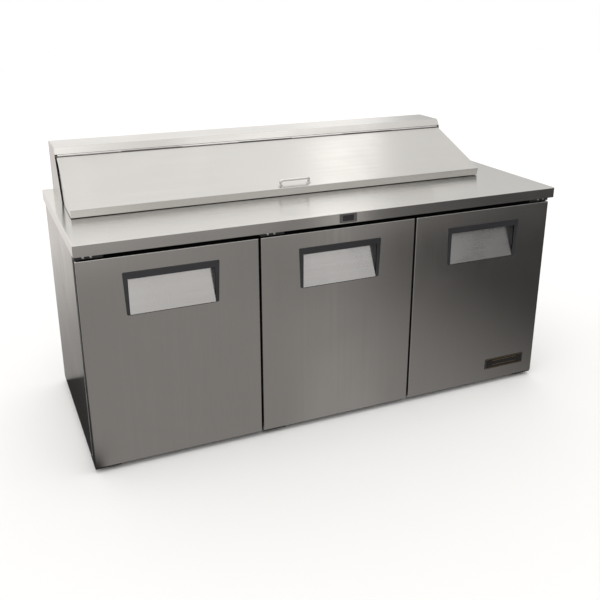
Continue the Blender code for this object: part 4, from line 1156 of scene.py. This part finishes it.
def make_floor():
    """A plain pale floor. Gloss on the object sees it darker: a painted reflection that glows only to glossy
    rays.
    """
    size = 14.0
    mesh = bpy.data.meshes.new("studio_floor")
    mesh.from_pydata([(-size, -size, 0.0), (size, -size, 0.0), (size, size, 0.0), (-size, size, 0.0)],
                     [], [(0, 1, 2, 3)])
    pale = bpy.data.materials.new("pale_floor")
    pale.use_nodes = True
    nodes = Nodes(pale.node_tree)
    shader = nodes.tree.nodes["Principled BSDF"]
    nodes.fill(shader, Base_Color=(0.83, 0.83, 0.83, 1.0), Roughness=0.9, Specular_IOR_Level=0.0)
    # The floor's glow to glossy rays is a painted reflection, not a lamp
    gloss = nodes.glow("ShaderNodeEmission", (1.0, 0.955, 0.925), floor_in_gloss(nodes))
    nodes.by_ray("Is Glossy Ray", shader.outputs["BSDF"], gloss, "Material Output")
    pale.cycles.emission_sampling = "NONE"
    mesh.materials.append(pale)
    add_object("studio_floor", mesh)


def room_brightness(nodes):
    """How bright the room is in each direction: a window strip behind, and a dim low front right."""
    way = nodes.add("ShaderNodeTexCoord").outputs["Generated"]
    x, y, z = nodes.axes(way)
    side = nodes.towards(way, heading(43.0, 49.0).cross(heading(28.5, 25.0)).normalized())
    side = nodes.math("ADD", side, nodes.ramp(z, 0.40, 0.12, 0.0, 0.15))
    row = nodes.both(nodes.ramp(z, 0.24, 0.34), nodes.ramp(z, 0.66, 0.54))
    left = nodes.math("ADD", 1.09, nodes.both(row, 0.20))
    right = nodes.both(nodes.ramp(z, 0.16, 0.38, 0.55, 1.02), nodes.ramp(z, 0.50, 0.70, 1.0, 0.88))
    back = nodes.mix(nodes.ramp(side, 0.030, -0.030), left, right)
    window = nodes.ramp(nodes.math("ABSOLUTE", side), 0.050, 0.032)
    back = nodes.math("ADD", back, nodes.both(window, nodes.ramp(z, 0.20, 0.34, 0.0, 0.50)))

    high = nodes.ramp(x, 0.08, 0.24, 1.40, 0.92)
    to_lamp = nodes.towards(way, heading(142.0, 53.0))
    lamp = nodes.ramp(to_lamp, math.cos(math.radians(9.0)), math.cos(math.radians(5.0)))
    high = nodes.math("ADD", high, nodes.both(lamp, 0.60))
    low = nodes.ramp(x, 0.45, 0.57, 0.72, 0.13)
    front = nodes.mix(nodes.ramp(z, 0.24, 0.48), low, high)
    return nodes.mix(nodes.ramp(y, 0.05, -0.15), back, front)


def make_world():
    """White behind the object, and a room that lights it."""
    world = bpy.data.worlds.new("studio_world")
    world.use_nodes = True
    bpy.context.scene.world = world
    nodes = Nodes(world.node_tree)
    room = nodes.glow("ShaderNodeBackground", (1.0, 0.985, 0.965), room_brightness(nodes))
    plain = nodes.glow("ShaderNodeBackground", (1.0, 1.0, 1.0), 1.0)
    nodes.by_ray("Is Camera Ray", room, plain, "World Output")


def make_sun():
    """A soft, even light from near the zenith, which gloss doesn't show."""
    data = bpy.data.lights.new("key", "SUN")
    data.energy = 0.55
    data.angle = math.radians(40.0)
    light = add_object("key", data)
    light.rotation_euler = heading(142.0, 84.0).to_track_quat("Z", "Y").to_euler()
    light.visible_glossy = False


def make_camera():
    data = bpy.data.cameras.new("camera")
    data.sensor_width = 36.0
    data.lens = 46.918
    data.shift_y = -0.0554
    data.clip_start = 0.05
    camera = add_object("camera", data)
    camera.location = (-1.1876, -2.7146, 1.5548)
    camera.rotation_euler = (math.radians(70.382), 0.0, math.radians(-23.639))
    bpy.context.scene.camera = camera


def main():
    make_worktop()
    make_pans()
    make_hood()
    make_hood_seals()
    make_lid()
    make_lid_liner()
    make_lid_pull()
    make_display()
    make_cabinet()
    make_louvres()
    make_rear_screws()
    for number in (1, 2, 3):
        make_door_sheet(number)
        make_handle(number)
        make_door_back(number)
        make_brackets(number)
        make_shelf(number)
    make_badge()
    dress("evaporator_housing", "white", 0.0006)
    make_coil("evaporator_coil", 5)
    make_coil("condenser_coil", 7)
    make_motor("evaporator", 0.022, 0.060)
    make_motor("condenser", 0.030, 0.080)
    make_fan("evaporator_fan", 0.075, 0.020, 5)
    make_fan("condenser_fan", 0.100, 0.026, 4)
    make_guard()
    make_dial()
    make_compressor()
    make_floor()
    make_world()
    make_sun()
    make_camera()
    bpy.context.scene.view_settings.view_transform = "Standard"


main()
